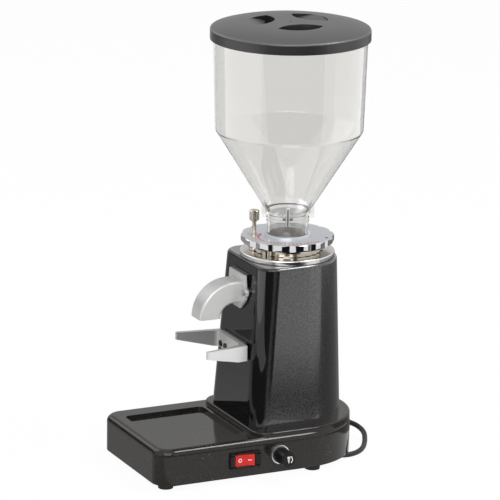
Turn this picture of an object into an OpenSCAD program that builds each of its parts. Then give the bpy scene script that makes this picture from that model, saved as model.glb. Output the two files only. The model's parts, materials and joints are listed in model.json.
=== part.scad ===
// Electric coffee grinder with flat burrs, a bean hopper, a pouring chute and a holder fork.
// The origin lies on the burr axis at the floor. The chute side faces -Y, the switch side faces +X.

/* [Base] */
// Width of the base
base_w = 173; // [168:1:185]
// Distance from the burr axis to the front face of the base
base_front = 204.7; // [200:0.1:225]
// How far the centre of the round rear lies in front of the burr axis
rear_set = 8; // [5:0.5:10]
// Radius of the front corners seen from above
base_corner_r = 21; // [16:1:28]
// Height of the base from its underside to the deck
base_h = 43.8; // [42:0.1:52]
// Radius of the rounded upper edge of the base
base_edge_r = 8; // [4:0.5:8.5]
// Wall of the base casting
base_wall = 3.5; // [3:0.1:4.5]
// Thickness of the deck
deck_t = 4; // [3:0.1:6]
// Width of the catch tray recess
tray_w = 116; // [90:1:124]
// Distance from the burr axis to the front edge of the recess
tray_front = 187; // [170:1:192]
// Distance from the burr axis to the rear edge of the recess
tray_rear = 84; // [82:1:110]
// Depth of the recess
tray_depth = 4; // [3:0.5:8]
// Radius of the corners of the recess
tray_corner_r = 7; // [4:1:12]
// Thickness of the floor of the recess
tray_floor_t = 3; // [2:0.5:4]
// Width of the drain groove behind the recess
groove_w = 2.2; // [1:0.1:3]
// Depth of the drain groove
groove_depth = 1.6; // [0.8:0.1:2.5]
// Height of the raised plinth under the tower
plinth_h = 4.5; // [3:0.5:6]
// How far the plinth stands in from the side of the base
plinth_inset = 3.2; // [2.5:0.1:6]
// Distance from the foot of the tower to the front of the plinth
plinth_front_step = 2.4; // [2:0.1:6]
// Radius of the rounded edge of the plinth
plinth_edge_r = 2.2; // [1:0.1:3]
// Thickness of the bottom plate
plate_t = 2; // [1.5:0.1:3]
// Height of the rubber feet
foot_h = 7.5; // [7:0.1:12]
// Radius of the rubber feet
foot_r = 10; // [7:0.5:11]
// Sideways place of the front feet
foot_x_front = 66; // [55:1:68]
// Sideways place of the rear feet
foot_x_rear = 70; // [55:1:71]

/* [Tower] */
// Height of the tower from the plinth to its top
tower_h = 194.2; // [188:0.1:230]
// Half width of the tower at its top
tower_r = 59.7; // [59:0.1:62]
// Distance from the burr axis to the front face at the top
tower_front = 58.8; // [58:0.1:62]
// How much each side of the tower leans out towards its foot
tower_draft = 6.6; // [3:0.1:8]
// How much the front of the tower leans out towards its foot
front_draft = 14.5; // [8:0.1:15]
// Radius of the front corners of the tower
tower_corner_r = 21; // [16:0.5:24]
// Wall of the tower casting
tower_wall = 4; // [3:0.1:5]
// Radius of the rounded top edge
tower_edge_r = 3.2; // [1.5:0.1:3.4]
// Thickness of the top plate that carries the burr chamber
top_plate_t = 8; // [6:0.5:10]
// Thickness of the flange at the foot of the tower
foot_flange_t = 7; // [5:0.5:9]
// Radius of the opening in the foot flange
foot_bore_r = 46; // [40:1:47]

/* [Burr chamber and collar] */
// Radius of the polished ring on top of the tower
ring_r = 56.9; // [56:0.1:59]
// Thickness of the polished ring
ring_t = 5; // [4:0.1:7]
// Shadow gap between the ring and the tower
ring_gap = 1; // [0.5:0.1:2]
// Radius of the bore of the chamber
chamber_r = 36; // [35.5:0.1:37]
// Wall of the chamber
chamber_wall = 8; // [7.5:0.1:8.4]
// Depth of the chamber below the ring
chamber_depth = 45; // [44:0.5:50]
// Thickness of the chamber floor
chamber_floor_t = 6; // [4:0.5:9]
// Radius of the adjusting collar over its lobes
collar_r = 56.3; // [54:0.1:58]
// Thickness of the rim of the collar
collar_t = 8.4; // [6:0.1:12]
// Height of the rim above the ring
rim_lift = 10; // [9:0.5:14]
// Number of lobes on the rim
lobe_count = 14; // [10:1:16]
// Radius of each lobe
lobe_r = 18; // [16:0.5:22]
// Radius of the raised shoulder under the rim
shoulder_r = 41; // [40.5:0.1:42]
// Height of the bright lip round the hopper socket
lip_h = 2.4; // [1:0.1:4]
// Width of the bright lip
lip_w = 3; // [2:0.1:4]
// Number of index holes for the lock pin
index_count = 24; // [12:12:24]
// Distance of the lock pin from the burr axis
lock_pitch_r = 40.2; // [40:0.1:40.6]
// Direction of the lock pin, from +X
lock_angle = 250; // [240:1:260]
// Radius of the lock pin
lock_pin_r = 3; // [2.5:0.1:3]
// Radius of the knurled head of the lock pin
lock_head_r = 6; // [5:0.1:7]
// Height of the knurled head
lock_head_h = 14.5; // [10:0.5:18]
// Length of the bare stem between the collar and the head
lock_stem = 16; // [10:0.5:20]
// How far the raised pin drops into the ring
lock_drop = 5.2; // [4:0.1:5.4]
// Distance of the stop post from the burr axis
post_pitch_r = 52; // [51.8:0.1:52.4]
// Direction of the stop post
post_angle = 305; // [295:1:312]
// Radius of the stop post
post_r = 4.3; // [3:0.1:4.4]

/* [Burrs and motor] */
// Outer radius of the burrs
burr_r = 32; // [30:0.5:33]
// Inner radius of the burrs
burr_in_r = 18.5; // [17:0.5:20]
// Thickness of each burr
burr_t = 7; // [5:0.5:8]
// Grinding gap between the burrs at rest
burr_gap = 0.4; // [0.3:0.1:1]
// Number of cutting grooves on each burr
groove_count = 16; // [8:1:24]
// Radius of the burr carrier
carrier_r = 33.5; // [33:0.1:34.5]
// Thickness of the burr carrier
carrier_t = 7; // [5:0.5:9]
// Radius of the motor shaft
shaft_r = 7.5; // [6:0.1:8]
// Outer radius of the motor
motor_r = 50; // [44:0.5:51]
// Room under the motor for its fan
fan_room = 16.2; // [15:0.1:18]
// Radius of the rotor
rotor_r = 28; // [24:0.5:30]
// Height of each motor end bell
bell_h = 33; // [31:0.5:34]
// Outer radius of the ball bearings
bearing_r = 17.5; // [15:0.5:20]
// Width of the ball bearings
bearing_w = 11; // [8:0.5:12]
// Radius of the cooling fan
fan_r = 44; // [35:1:46]
// Number of fan blades
fan_blades = 9; // [5:1:11]

/* [Hopper and lid] */
// Outer radius of the hopper at its rim
hopper_r = 92.2; // [85:0.1:100]
// Outer radius of the hopper at its shoulder
hopper_low_r = 88.6; // [82:0.1:92]
// Height of the straight part of the hopper
hopper_h = 117.2; // [90:0.1:150]
// Height of the cone of the hopper
cone_h = 97.8; // [80:0.1:120]
// Radius of the rounding between the cone and the wall
hopper_round = 8; // [5:1:20]
// Wall of the hopper
hopper_wall = 3; // [2:0.1:4]
// Outer radius of the neck
neck_r = 25; // [24:0.1:26]
// Height of the closing slide above the collar
gate_lift = 26.6; // [22:0.1:32]
// Thickness of the closing slide
gate_t = 2; // [1.5:0.1:3]
// Direction in which the slide pulls out
gate_angle = 334; // [325:1:345]
// Radius of the pull rod of the slide
pull_r = 2.5; // [2:0.1:3]
// Distance of the pull rod from the burr axis
pull_out = 38; // [37:0.5:42]
// Length of the pull rod
pull_len = 21; // [16:0.5:22]
// Outer radius of the lid
lid_r = 95.7; // [94:0.1:104]
// Depth of the lid skirt below its top edge
lid_skirt = 10.5; // [7:0.5:18]
// Rise of the domed top
lid_dome = 10.2; // [8:0.1:12]
// Radius of the rounded rim of the lid
lid_edge_r = 3; // [2:0.1:4]
// Wall of the lid
lid_wall = 3.2; // [2.5:0.1:3.3]
// Length of each finger recess
grip_len = 56; // [40:1:60]
// Width of each finger recess
grip_w = 30; // [20:1:34]
// Distance of the finger recesses from the middle
grip_pitch_r = 35; // [33:0.5:42]
// Depth of the deep half of a finger recess
grip_depth = 12; // [8:0.5:16]
// Depth of the sloped half at the middle of a recess
grip_slope = 7; // [4:0.5:8]

/* [Chute and fork] */
// Width of the chute
chute_w = 29; // [27:0.5:34]
// Wall of the chute
chute_wall = 2.5; // [2:0.1:3.5]
// Height of the straight part of the chute
chute_h = 27.2; // [26:0.1:28]
// Radius of the long edges of the chute
chute_edge_r = 4; // [3.5:0.1:6]
// Distance from the burr axis to the front of the chute
chute_out = 120.2; // [115:0.1:135]
// Inner radius of the bend over the outlet
chute_bend_r = 16.5; // [14:0.5:18]
// Height of the outlet below the middle of the port
chute_drop = 36; // [35:0.5:38]
// Thickness of the mounting flange
chute_flange_t = 3; // [2:0.5:5]
// Width of the port between the chamber and the chute
port_w = 22; // [18:0.5:23]
// Height of the port
port_h = 10; // [8:0.5:10]
// Height of the top of the fork above the foot of the tower
fork_lift = 97.8; // [80:0.2:104]
// Half width of the fork at its root
fork_root = 39; // [34:0.5:44]
// Half width of the fork at its tips
fork_tip = 47.5; // [42:0.5:52]
// Distance from the burr axis to the tips
fork_out = 126; // [115:1:140]
// Height of the arms at the root
fork_h = 19; // [16:0.5:21]
// Height of the arms at the tips
fork_tip_h = 8.8; // [6:0.2:12]
// Thickness of the fork
fork_t = 5.6; // [4:0.2:7]
// How far the mounting boss stands off the tower
boss_out = 2.3; // [2:0.1:6]
// Half width of the mounting boss
boss_half = 30; // [28:1:32]

/* [Controls] */
// Distance of the switch from the burr axis, towards the front
switch_y = 93.5; // [88:0.5:110]
// Height of the switch middle above the underside of the base
switch_z = 20.9; // [18:0.1:24]
// Length of the switch frame
bezel_l = 39.8; // [36:0.2:44]
// Height of the switch frame
bezel_h = 19.7; // [18.5:0.1:22]
// How far the frame stands off the base
bezel_t = 3.4; // [2:0.1:5]
// Length of the rocker
rocker_l = 23.6; // [20:0.2:25]
// Height of the rocker
rocker_h = 13.8; // [12:0.1:14.4]
// Half of the rocking travel in degrees
rocker_tilt = 8; // [5:1:9]
// Distance of the timer knob from the burr axis, towards the front
knob_y = 48; // [45:0.5:58]
// Height of the knob middle above the underside of the base
knob_z = 22.3; // [20:0.1:25]
// Radius of the knob at its foot
knob_r = 10.3; // [9:0.1:12]
// Radius of the knob at its face
knob_face_r = 8.9; // [7.5:0.1:10]
// Length of the knob
knob_l = 24; // [15:0.5:28]

/* [Mains lead] */
// Radius of the mains lead
cord_r = 3.2; // [3:0.1:3.4]
// Radius of the strain relief in the wall of the base
relief_r = 6; // [5:0.1:7]
// Height of the lead where it leaves the base, above the underside
exit_z = 11; // [10.5:0.1:14]

/* [Hidden] */
$fn = 64;

// Clearances shared by the pieces that fit each other
screw_fit = 0.05;
run_fit = 0.05;
slide_fit = 0.3;
seat_gap = 0.3;
panel_fit = 0.2;
over = 1;

// Levels, from the floor up
z_base = foot_h;
z_deck = z_base + base_h;
z_foot = z_deck + plinth_h;
z_top = z_foot + tower_h;
z_flange = z_top + ring_gap;
z_ring = z_flange + ring_t;
z_rim = z_ring + rim_lift;
z_collar = z_rim + collar_t;
z_gate = z_collar + gate_lift;
z_cone = z_gate + gate_t + slide_fit + 3;
z_shoulder = z_cone + cone_h;
z_hopper = z_shoulder + hopper_h;
z_lid_in = z_hopper + seat_gap;
z_lid_edge = z_lid_in + lid_wall;
z_lid = z_lid_edge + lid_dome;
z_chamber = z_ring - chamber_depth;
z_chamber_under = z_chamber - chamber_floor_t;
carrier_gap = 1;
z_carrier = z_chamber + carrier_gap;
z_burr_low = z_carrier + carrier_t;
z_burr_up = z_burr_low + burr_t + burr_gap;
z_hub = z_burr_up + burr_t;
stack_h = z_chamber_under - 2 * bell_h - (z_foot + foot_flange_t + fan_room);
z_stack_top = z_chamber_under - bell_h;
z_stack = z_stack_top - stack_h;
z_bell_low = z_stack - bell_h;

// Derived sizes of the base
base_r = base_w / 2;
rear_y = -rear_set;
tray_z = z_deck - tray_depth;
plinth_rear_y = rear_y + plinth_inset;
tower_foot_front = tower_front + front_draft;
plinth_front = tower_foot_front + plinth_front_step;
plinth_corner_r = tower_corner_r + plinth_front_step;
groove_y = (plinth_front + tray_rear) / 2;
lead_x = -34;
boss_x = base_r - base_wall - 6;
boss_r = 6;
plate_rest = z_base + plate_t;
plate_screw_y = [-150, -25];
plate_screw_bite = 12;
vent_size = [4, 40];
vent_pitch = 10;
vent_count = 7;
vent_y = -60;
foot_places = [[-foot_x_front, -187], [foot_x_front, -187], [-foot_x_rear, 4], [foot_x_rear, 4]];
tower_screw_r = 54;
tower_screw_angles = [45, 135, 205, 335];
wire_bore_r = 24;

// Derived sizes of the chamber, the chute and the fork
ring_foot_r = ring_r - 3;
chamber_out_r = chamber_r + chamber_wall;
chamber_screw_r = 50.2;
chamber_screw_angles = [gate_angle, gate_angle + 120, gate_angle + 240];
port_z = z_carrier + carrier_t;
pad_half = port_w / 2 + 5;
pad_y = chamber_out_r + 2;
flange_top = port_z + 16;
flange_bottom = port_z - 27;
function tower_lean(z) = tower_draft * (z_top - z) / tower_h;
function front_at(z) = tower_front + front_draft * (z_top - z) / tower_h;
chute_seat = front_at(flange_bottom) + 0.4;
chute_face = chute_seat + chute_flange_t;
chute_mid_r = chute_bend_r + chute_h / 2;
chute_bend_y = chute_out - chute_bend_r - chute_h;
chute_outlet_z = port_z - chute_drop;
ear_x = 22;
ear_z = port_z - 4.5;
ear_r = 5.7;
spigot_w = port_w + 4;
spigot_h = port_h + 4;
fork_z = z_foot + fork_lift;
fork_seat = front_at(fork_z - fork_h) + boss_out;
fork_screw_x = [-24, -11, 11, 24];
fork_screw_z = fork_z - fork_h + 5;
fork_head_drop = 1;

// Derived sizes of the controls
panel_x = base_r;
switch_c = [panel_x, -switch_y, z_base + switch_z];
knob_c = [panel_x, -knob_y, z_base + knob_z];
rocker_pivot_x = panel_x - 3;
rocker_room = 0.5;
frame_l = rocker_l + 2 * rocker_room + 1.4;
frame_h = rocker_h + 2 * slide_fit;
case_wall = 1.6;
case_depth = 22;

// Screw sizes as head radius, head height and shank radius
m3 = [2.8, 2.0, 1.5];
m4 = [3.8, 2.4, 2.0];
m5 = [4.6, 3.0, 2.5];

// Points of the mains lead where it lies free, and of its end by the plug
run_points = [[-34, 84.5, 18.5], [-32, 95, 17.8], [-25, 104, 15.8], [-15, 109.5, 12.8], [-3, 110, 9.4],
    [9, 105.5, 6.4], [21, 99, 4.4], [32, 91.5, 3.4], [41, 83, 3.2], [48, 72, 3.2], [50, 60, 3.2],
    [46, 48, 3.2], [37, 39.5, 3.2], [25, 36, 3.2], [8, 36, 3.2], [-12, 36, 3.2], [-32, 36, 3.2],
    [-52, 36, 3.2], [-72, 36, 3.2], [-92, 36, 3.2], [-112, 36, 3.2], [-129.6, 36, 3.2]];
exit_p = run_points[0];
coil_c = [-136, 81];
coil_out_r = 45;
coil_pitch = 8.2;
coil_layer = 7;
coil_turns = 2.25;
coil_sides = 6;
rings_per_turn = 24;
tail_points = [[-142.4, 36, 10.2], [-152, 36, 10.2], [-166, 38.5, 10.2], [-179, 45.5, 10], [-189, 56, 11],
    [-196, 69, 13.5], [-198, 81, 16.5], [-198, 90, 18.2]];
plug_r = 18;
plug_l = 34;
plug_neck = 12;
pin_r = 2.4;
pin_l = 19;
pin_gap = 19;

// Shared shapes

// A body with a D-shaped plan: round rear, straight sides and two round front corners.
// Its child is the outward profile, drawn from the corner centres, with height as the second axis.
module d_body(r, yc, front, cr, z0, z1) {
    core = r - cr;
    corner_y = -(front - cr);
    translate([0, yc, 0]) rotate_extrude(angle = 180) {
        translate([0, z0]) square([core, z1 - z0]);
        translate([core, 0]) children();
    }
    translate([0, yc, 0]) rotate([90, 0, 0]) linear_extrude(yc - corner_y) {
        translate([-core, z0]) square([2 * core, z1 - z0]);
        for (m = [0, 1]) mirror([m, 0]) translate([core, 0]) children();
    }
    translate([core, corner_y, 0]) rotate([0, 0, -90]) rotate_extrude(angle = 90) children();
    translate([-core, corner_y, 0]) rotate([0, 0, 180]) rotate_extrude(angle = 90) children();
    translate([core, corner_y, 0]) rotate([90, 0, -90]) linear_extrude(2 * core) children();
}

// An upright profile of width t with a rounded upper corner
module round_top(t, z0, z1, f) {
    difference() {
        translate([0, z0]) square([t, z1 - z0]);
        difference() {
            translate([t - f, z1 - f]) square([f + over, f + over]);
            translate([t - f, z1 - f]) circle(f);
        }
    }
}

module rounded_rect(w, h, r) {
    square([w - 2 * r, h], center = true);
    square([w, h - 2 * r], center = true);
    for (sx = [-1, 1], sy = [-1, 1]) translate([sx * (w / 2 - r), sy * (h / 2 - r)]) circle(r);
}

// A screw that points down, with the seat of its head at the origin
module screw(size, length) {
    cylinder(r = size[0], h = size[1]);
    translate([0, 0, -length]) cylinder(r = size[2], h = length);
}

module screw_hole(size, length) {
    translate([0, 0, -length]) cylinder(r = size[2] + screw_fit, h = length + over);
}

module at_polar(r, angles) {
    for (a = angles) rotate([0, 0, a]) translate([r, 0, 0]) children();
}

module ring(r_out, r_in, z0, z1) {
    difference() {
        translate([0, 0, z0]) cylinder(r = r_out, h = z1 - z0);
        translate([0, 0, z0 - over]) cylinder(r = r_in, h = z1 - z0 + 2 * over);
    }
}

// Upright direction turned into the outward direction of the switch panel, along +X
module on_panel(c) {
    translate(c) rotate([0, 90, 0]) children();
}

// Swept tubes for the lead and the spring
function unit(v) = v / norm(v);
function path_dir(p, i, first, last) = i == 0 ? first : i == len(p) - 1 ? last : unit(p[i + 1] - p[i - 1]);
function ring_at(c, t, r, n) = let (s = unit(cross(t, [0, 0, 1])), u = cross(s, t))
    [for (k = [0:n - 1]) c + r * (cos(360 * k / n) * s + sin(360 * k / n) * u)];
module tube(p, r, n, first, last) {
    rows = len(p);
    points = [for (i = [0:rows - 1]) each ring_at(p[i], path_dir(p, i, first, last), r, n)];
    sides = [for (i = [0:rows - 2], k = [0:n - 1]) let (a = i * n + k, b = i * n + (k + 1) % n)
        each [[a, a + n, b], [b, a + n, b + n]]];
    start = [for (k = [1:n - 2]) [0, k, k + 1]];
    end = [for (k = [1:n - 2]) [(rows - 1) * n, (rows - 1) * n + k + 1, (rows - 1) * n + k]];
    polyhedron(points = points, faces = concat(sides, start, end));
}

// Base

module base_shape(inset, z0, z1, edge) {
    d_body(base_r - inset, rear_y, base_front - inset, base_corner_r - inset, z0, z1)
        round_top(base_corner_r - inset, z0, z1, edge);
}

module plinth_shape() {
    d_body(base_r - plinth_inset, plinth_rear_y, plinth_front, plinth_corner_r, tray_z, z_foot)
        round_top(plinth_corner_r, tray_z, z_foot, plinth_edge_r);
}

module tray_block(grow, z0, z1) {
    translate([0, -(tray_front + tray_rear) / 2, z0]) linear_extrude(z1 - z0)
        rounded_rect(tray_w + 2 * grow, tray_front - tray_rear + 2 * grow, tray_corner_r + grow);
}

module screw_bosses(z0, z1, r) {
    for (x = [-boss_x, boss_x], y = plate_screw_y) translate([x, y, z0]) cylinder(r = r, h = z1 - z0);
}

module base_housing() color([0.16, 0.15, 0.14]) difference() {
    union() {
        difference() {
            union() {
                base_shape(0, z_base, z_deck, base_edge_r);
                plinth_shape();
            }
            difference() {
                base_shape(base_wall, z_base - over, z_deck - deck_t, over);
                tray_block(tray_floor_t, tray_z - tray_floor_t, z_deck);
            }
        }
        screw_bosses(plate_rest, z_deck - deck_t / 2, boss_r);
    }
    tray_block(0, tray_z, z_deck + over);
    translate([-tray_w / 2 + 6, -groove_y - groove_w / 2, z_deck - groove_depth])
        cube([tray_w - 12, groove_w, groove_depth + over]);
    screw_bosses(plate_rest - over, plate_rest + 14, m4[2] + screw_fit);
    translate([0, 0, z_deck - deck_t - over]) cylinder(r = wire_bore_r, h = deck_t + plinth_h + 2 * over);
    at_polar(tower_screw_r, tower_screw_angles) translate([0, 0, z_deck - deck_t - over])
        cylinder(r = m5[2] + screw_fit, h = deck_t + plinth_h + 2 * over);
    translate(switch_c - [base_wall + over, (frame_l + 2 * case_wall) / 2 + panel_fit,
            (frame_h + 2 * case_wall) / 2 + panel_fit])
        cube([base_wall + 2 * over, frame_l + 2 * (case_wall + panel_fit),
            frame_h + 2 * (case_wall + panel_fit)]);
    on_panel(knob_c - [base_wall + over, 0, 0]) cylinder(r = timer_bush_r + panel_fit,
        h = base_wall + 2 * over);
    translate([lead_x, relief_out_y, z_base + exit_z]) rotate([90, 0, 0])
        cylinder(r = relief_r + screw_fit, h = relief_out_y - relief_in_y);
}

module base_plate() color("dimgray") difference() {
    d_body(base_r - base_wall - seat_gap, rear_y, base_front - base_wall - seat_gap,
            base_corner_r - base_wall - seat_gap, z_base, plate_rest)
        translate([0, z_base]) square([base_corner_r - base_wall - seat_gap, plate_t]);
    for (x = [-boss_x, boss_x], y = plate_screw_y) translate([x, y, z_base - over])
        cylinder(r = m4[2] + screw_fit, h = plate_t + 2 * over);
    for (p = foot_places) translate([p[0], p[1], z_base - over])
        cylinder(r = m4[2] + screw_fit, h = plate_t + 2 * over);
    for (k = [0:vent_count - 1])
        translate([(k - (vent_count - 1) / 2) * vent_pitch - vent_size[0] / 2, vent_y, z_base - over])
            cube([vent_size[0], vent_size[1], plate_t + 2 * over]);
}

module plate_screws() color("silver")
    for (x = [-boss_x, boss_x], y = plate_screw_y) translate([x, y, z_base])
        rotate([180, 0, 0]) screw(m4, plate_t + plate_screw_bite);

module rubber_feet() color([0.1, 0.1, 0.1])
    for (p = foot_places) translate([p[0], p[1], 0]) difference() {
        cylinder(r1 = foot_r - 1, r2 = foot_r, h = foot_h);
        translate([0, 0, -over]) cylinder(r = m4[0] + 1, h = foot_h / 2 + over);
        cylinder(r = m4[2] + screw_fit, h = foot_h + over);
    }

module foot_screws() color("silver")
    for (p = foot_places) translate([p[0], p[1], foot_h / 2])
        rotate([180, 0, 0]) screw(m4, foot_h / 2 + plate_t + 3);

// Tower

side_lean = atan2(tower_draft, tower_h);
front_lean = atan2(front_draft, tower_h);
tower_reach = tower_h + 2 * tower_corner_r;
cap_z = z_top - tower_edge_r;
// The corner cylinders lie this far inside the flat faces, and the cap inside the trunk
corner_relief = 0.03;
cap_step = 0.3;

// The flat front, drawn in its own leaning plane between the lines where the corners begin
module tower_front_block(inset) {
    r = tower_corner_r - inset;
    line_x = tower_r - inset - r / cos(side_lean);
    slope = cos(front_lean) * tan(side_lean);
    foot_x = line_x + slope * (tower_reach + r * tan(front_lean));
    top_x = line_x - slope * (tower_corner_r - r * tan(front_lean));
    depth = tower_foot_front;
    translate([0, inset - tower_front, z_top]) rotate([90 - front_lean, 0, 0]) translate([0, 0, -depth])
        linear_extrude(depth) polygon([[-foot_x, -tower_reach], [foot_x, -tower_reach],
            [top_x, tower_corner_r], [-top_x, tower_corner_r]]);
}

// The two sides between the levels z0 and z1, from the round rear to the lines where the corners begin
module tower_sides(inset, z0, z1) {
    r = tower_corner_r - inset;
    low = tower_r - inset + tower_lean(z0);
    high = tower_r - inset + tower_lean(z1);
    line_y = inset + r / cos(front_lean) - tower_front - tan(front_lean) * (z_top + r * sin(side_lean));
    intersection() {
        rotate([90, 0, 0]) linear_extrude(base_w) polygon([[-low, z0], [low, z0], [high, z1], [-high, z1]]);
        rotate([90, 0, 90]) linear_extrude(2 * base_w, center = true)
            polygon([[over, z0 - over], [over, z1 + over], [line_y + tan(front_lean) * (z1 + over),
                z1 + over],
                [line_y + tan(front_lean) * (z0 - over), z0 - over]]);
    }
}

// The corner on +X: a cylinder that leans with the front and with the side
module tower_corner(inset) {
    r = tower_corner_r - inset;
    translate([tower_r - inset - r / cos(side_lean), inset + r / cos(front_lean) - tower_front, z_top])
        rotate([-atan(tan(front_lean) * cos(side_lean)), -side_lean, 0]) translate([0, 0, -tower_reach])
            cylinder(r = r - corner_relief, h = tower_reach + tower_corner_r);
}

// The tower between two levels, with all of its faces moved in by inset
module tower_trunk(inset, z0, z1) {
    r = tower_r - inset;
    rotate_extrude(angle = 180)
        polygon([[0, z0], [r + tower_lean(z0), z0], [r + tower_lean(z1), z1], [0, z1]]);
    tower_sides(inset, z0, z1);
    intersection() {
        translate([-base_w / 2, -base_w, z0]) cube([base_w, 2 * base_w, z1 - z0]);
        union() {
            tower_front_block(inset);
            for (m = [0, 1]) mirror([m, 0, 0]) tower_corner(inset);
        }
    }
}

// The rounded upper edge
module tower_cap() {
    d_body(tower_r + tower_lean(cap_z) - cap_step, 0, front_at(cap_z) - cap_step, tower_corner_r,
        cap_z, z_top)
        round_top(tower_corner_r, cap_z, z_top, tower_edge_r);
}

module chamber_opening(grow, z0, z1) {
    translate([0, 0, z0]) cylinder(r = chamber_out_r + grow, h = z1 - z0);
    translate([-pad_half - grow, -pad_y - grow, z0]) cube([2 * (pad_half + grow), pad_y, z1 - z0]);
}

module chute_outline(grow) {
    polygon([for (m = [-1, 1], p = m < 0
            ? [[9.6, flange_bottom - grow], [23, ear_z - 9], [23, ear_z + 6], [21, flange_top + grow]]
            : [[21, flange_top + grow], [23, ear_z + 6], [23, ear_z - 9], [9.6, flange_bottom - grow]])
        [m * (p[0] + grow), p[1]]]);
    for (s = [-1, 1]) translate([s * ear_x, ear_z]) circle(ear_r + grow);
}

module front_plate(y0, y1) {
    translate([0, -y0, 0]) rotate([90, 0, 0]) linear_extrude(y1 - y0) children();
}

module tower_housing() color([0.05, 0.05, 0.06]) difference() {
    union() {
        difference() {
            union() {
                tower_trunk(0, z_foot, cap_z);
                tower_cap();
            }
            tower_trunk(tower_wall, z_foot + foot_flange_t, z_top - top_plate_t);
        }
        front_plate(tower_front - tower_wall / 2, chute_seat) chute_outline(1);
        translate([-boss_half, -fork_seat, fork_z - fork_h])
            cube([2 * boss_half, fork_seat - tower_front + tower_wall / 2, fork_h]);
    }
    translate([0, 0, z_foot - over]) cylinder(r = foot_bore_r, h = foot_flange_t + 2 * over);
    chamber_opening(seat_gap, z_top - top_plate_t - over, z_top + over);
    translate([-spigot_w / 2 - panel_fit, -chute_seat - over, port_z - spigot_h / 2 - panel_fit])
        cube([spigot_w + 2 * panel_fit, tower_wall + chute_seat - tower_front + 3 * over,
            spigot_h + 2 * panel_fit]);
    at_polar(tower_screw_r, tower_screw_angles) translate([0, 0, z_foot - over])
        cylinder(r = m5[2] + screw_fit, h = foot_flange_t + over - 1);
    at_polar(chamber_screw_r, chamber_screw_angles) translate([0, 0, z_top - top_plate_t + 1])
        cylinder(r = m5[2] + screw_fit, h = top_plate_t + over);
    for (s = [-1, 1]) translate([s * ear_x, -chute_seat - over, ear_z]) rotate([-90, 0, 0])
        cylinder(r = m4[2] + screw_fit, h = tower_wall + over);
    for (x = fork_screw_x) translate([x, -fork_seat - over, fork_screw_z]) rotate([-90, 0, 0])
        cylinder(r = m4[2] + screw_fit, h = boss_out + over + 3);
}

module tower_screws() color("silver")
    at_polar(tower_screw_r, tower_screw_angles) translate([0, 0, z_deck - deck_t])
        rotate([180, 0, 0]) screw(m5, deck_t + plinth_h + foot_flange_t - 2);

// Burr chamber

module burr_chamber() color([0.78, 0.76, 0.72]) difference() {
    union() {
        rotate_extrude() difference() {
            union() {
                translate([0, z_chamber_under]) square([chamber_out_r, z_top - z_chamber_under]);
                translate([0, z_top]) square([ring_foot_r, ring_gap]);
                round_top(ring_r, z_flange, z_ring, 1.6);
            }
            translate([-over, z_chamber]) square([chamber_r + over, chamber_depth + over]);
            translate([-over, z_chamber_under - over]) square([shaft_r + 0.7 + over,
                chamber_floor_t + 2 * over]);
        }
        translate([-pad_half, -pad_y, port_z - spigot_h / 2 - 2])
            cube([2 * pad_half, pad_y - chamber_r - 1, spigot_h + 4]);
    }
    translate([-port_w / 2, -pad_y - over, port_z - port_h / 2]) cube([port_w, pad_y, port_h]);
    at_polar(lock_pitch_r, [for (k = [0:index_count - 1]) lock_angle + k * 360 / index_count])
        translate([0, 0, z_ring - lock_drop - 1]) cylinder(r = lock_pin_r + slide_fit,
            h = lock_drop + 1 + over);
    at_polar(chamber_screw_r, chamber_screw_angles) {
        translate([0, 0, z_top - over]) cylinder(r = m5[2] + screw_fit, h = ring_gap + ring_t + 2 * over);
        translate([0, 0, z_ring - m5[1] - 0.6]) cylinder(r = m5[0] + 0.4, h = m5[1] + over);
    }
    at_polar(post_pitch_r, [post_angle]) translate([0, 0, z_ring - 4]) cylinder(r = post_stud_r,
        h = 4 + over);
    at_polar(bell_screw_r, bell_screw_angles) translate([0, 0, z_chamber_under - over])
        cylinder(r = m4[2] + screw_fit, h = chamber_floor_t + 2 * over);
    at_polar(bell_screw_r, bell_screw_angles) translate([0, 0, z_chamber - m4[1] - 0.6])
        cylinder(r = m4[0] + 0.4, h = m4[1] + 1.2);
}

module chamber_screws() color([0.12, 0.12, 0.12])
    at_polar(chamber_screw_r, chamber_screw_angles) translate([0, 0, z_ring - m5[1] - 0.6])
        screw(m5, ring_t + ring_gap - m5[1] - 0.6 + top_plate_t - 2);

post_stud_r = 2.5;
module stop_post() color([0.75, 0.70, 0.60])
    at_polar(post_pitch_r, [post_angle]) {
        translate([0, 0, z_ring]) cylinder(r = post_r, h = rim_lift - 0.6);
        translate([0, 0, z_ring - 4 + screw_fit]) cylinder(r = post_stud_r - screw_fit, h = 4);
    }

// Chute and fork

// The chute as a bent tube that begins at the distance start from the burr axis.
// Its section is drawn inside the skin by inset, and it runs on below the outlet by extra.
module chute_tube(start, inset, extra) {
    w = chute_w - 2 * inset;
    h = chute_h - 2 * inset;
    r = chute_edge_r - inset;
    translate([0, -start, chute_outlet_z + chute_mid_r]) rotate([90, 0, 0])
        linear_extrude(chute_bend_y - start) rounded_rect(w, h, r);
    translate([0, -chute_bend_y, chute_outlet_z]) rotate([0, 90, 0]) rotate([0, 0, 180])
        rotate_extrude(angle = 90) translate([chute_mid_r, 0]) rounded_rect(h, w, r);
    if (extra > 0) translate([0, -chute_bend_y - chute_mid_r, chute_outlet_z - extra])
        linear_extrude(extra) rounded_rect(w, h, r);
}

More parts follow.
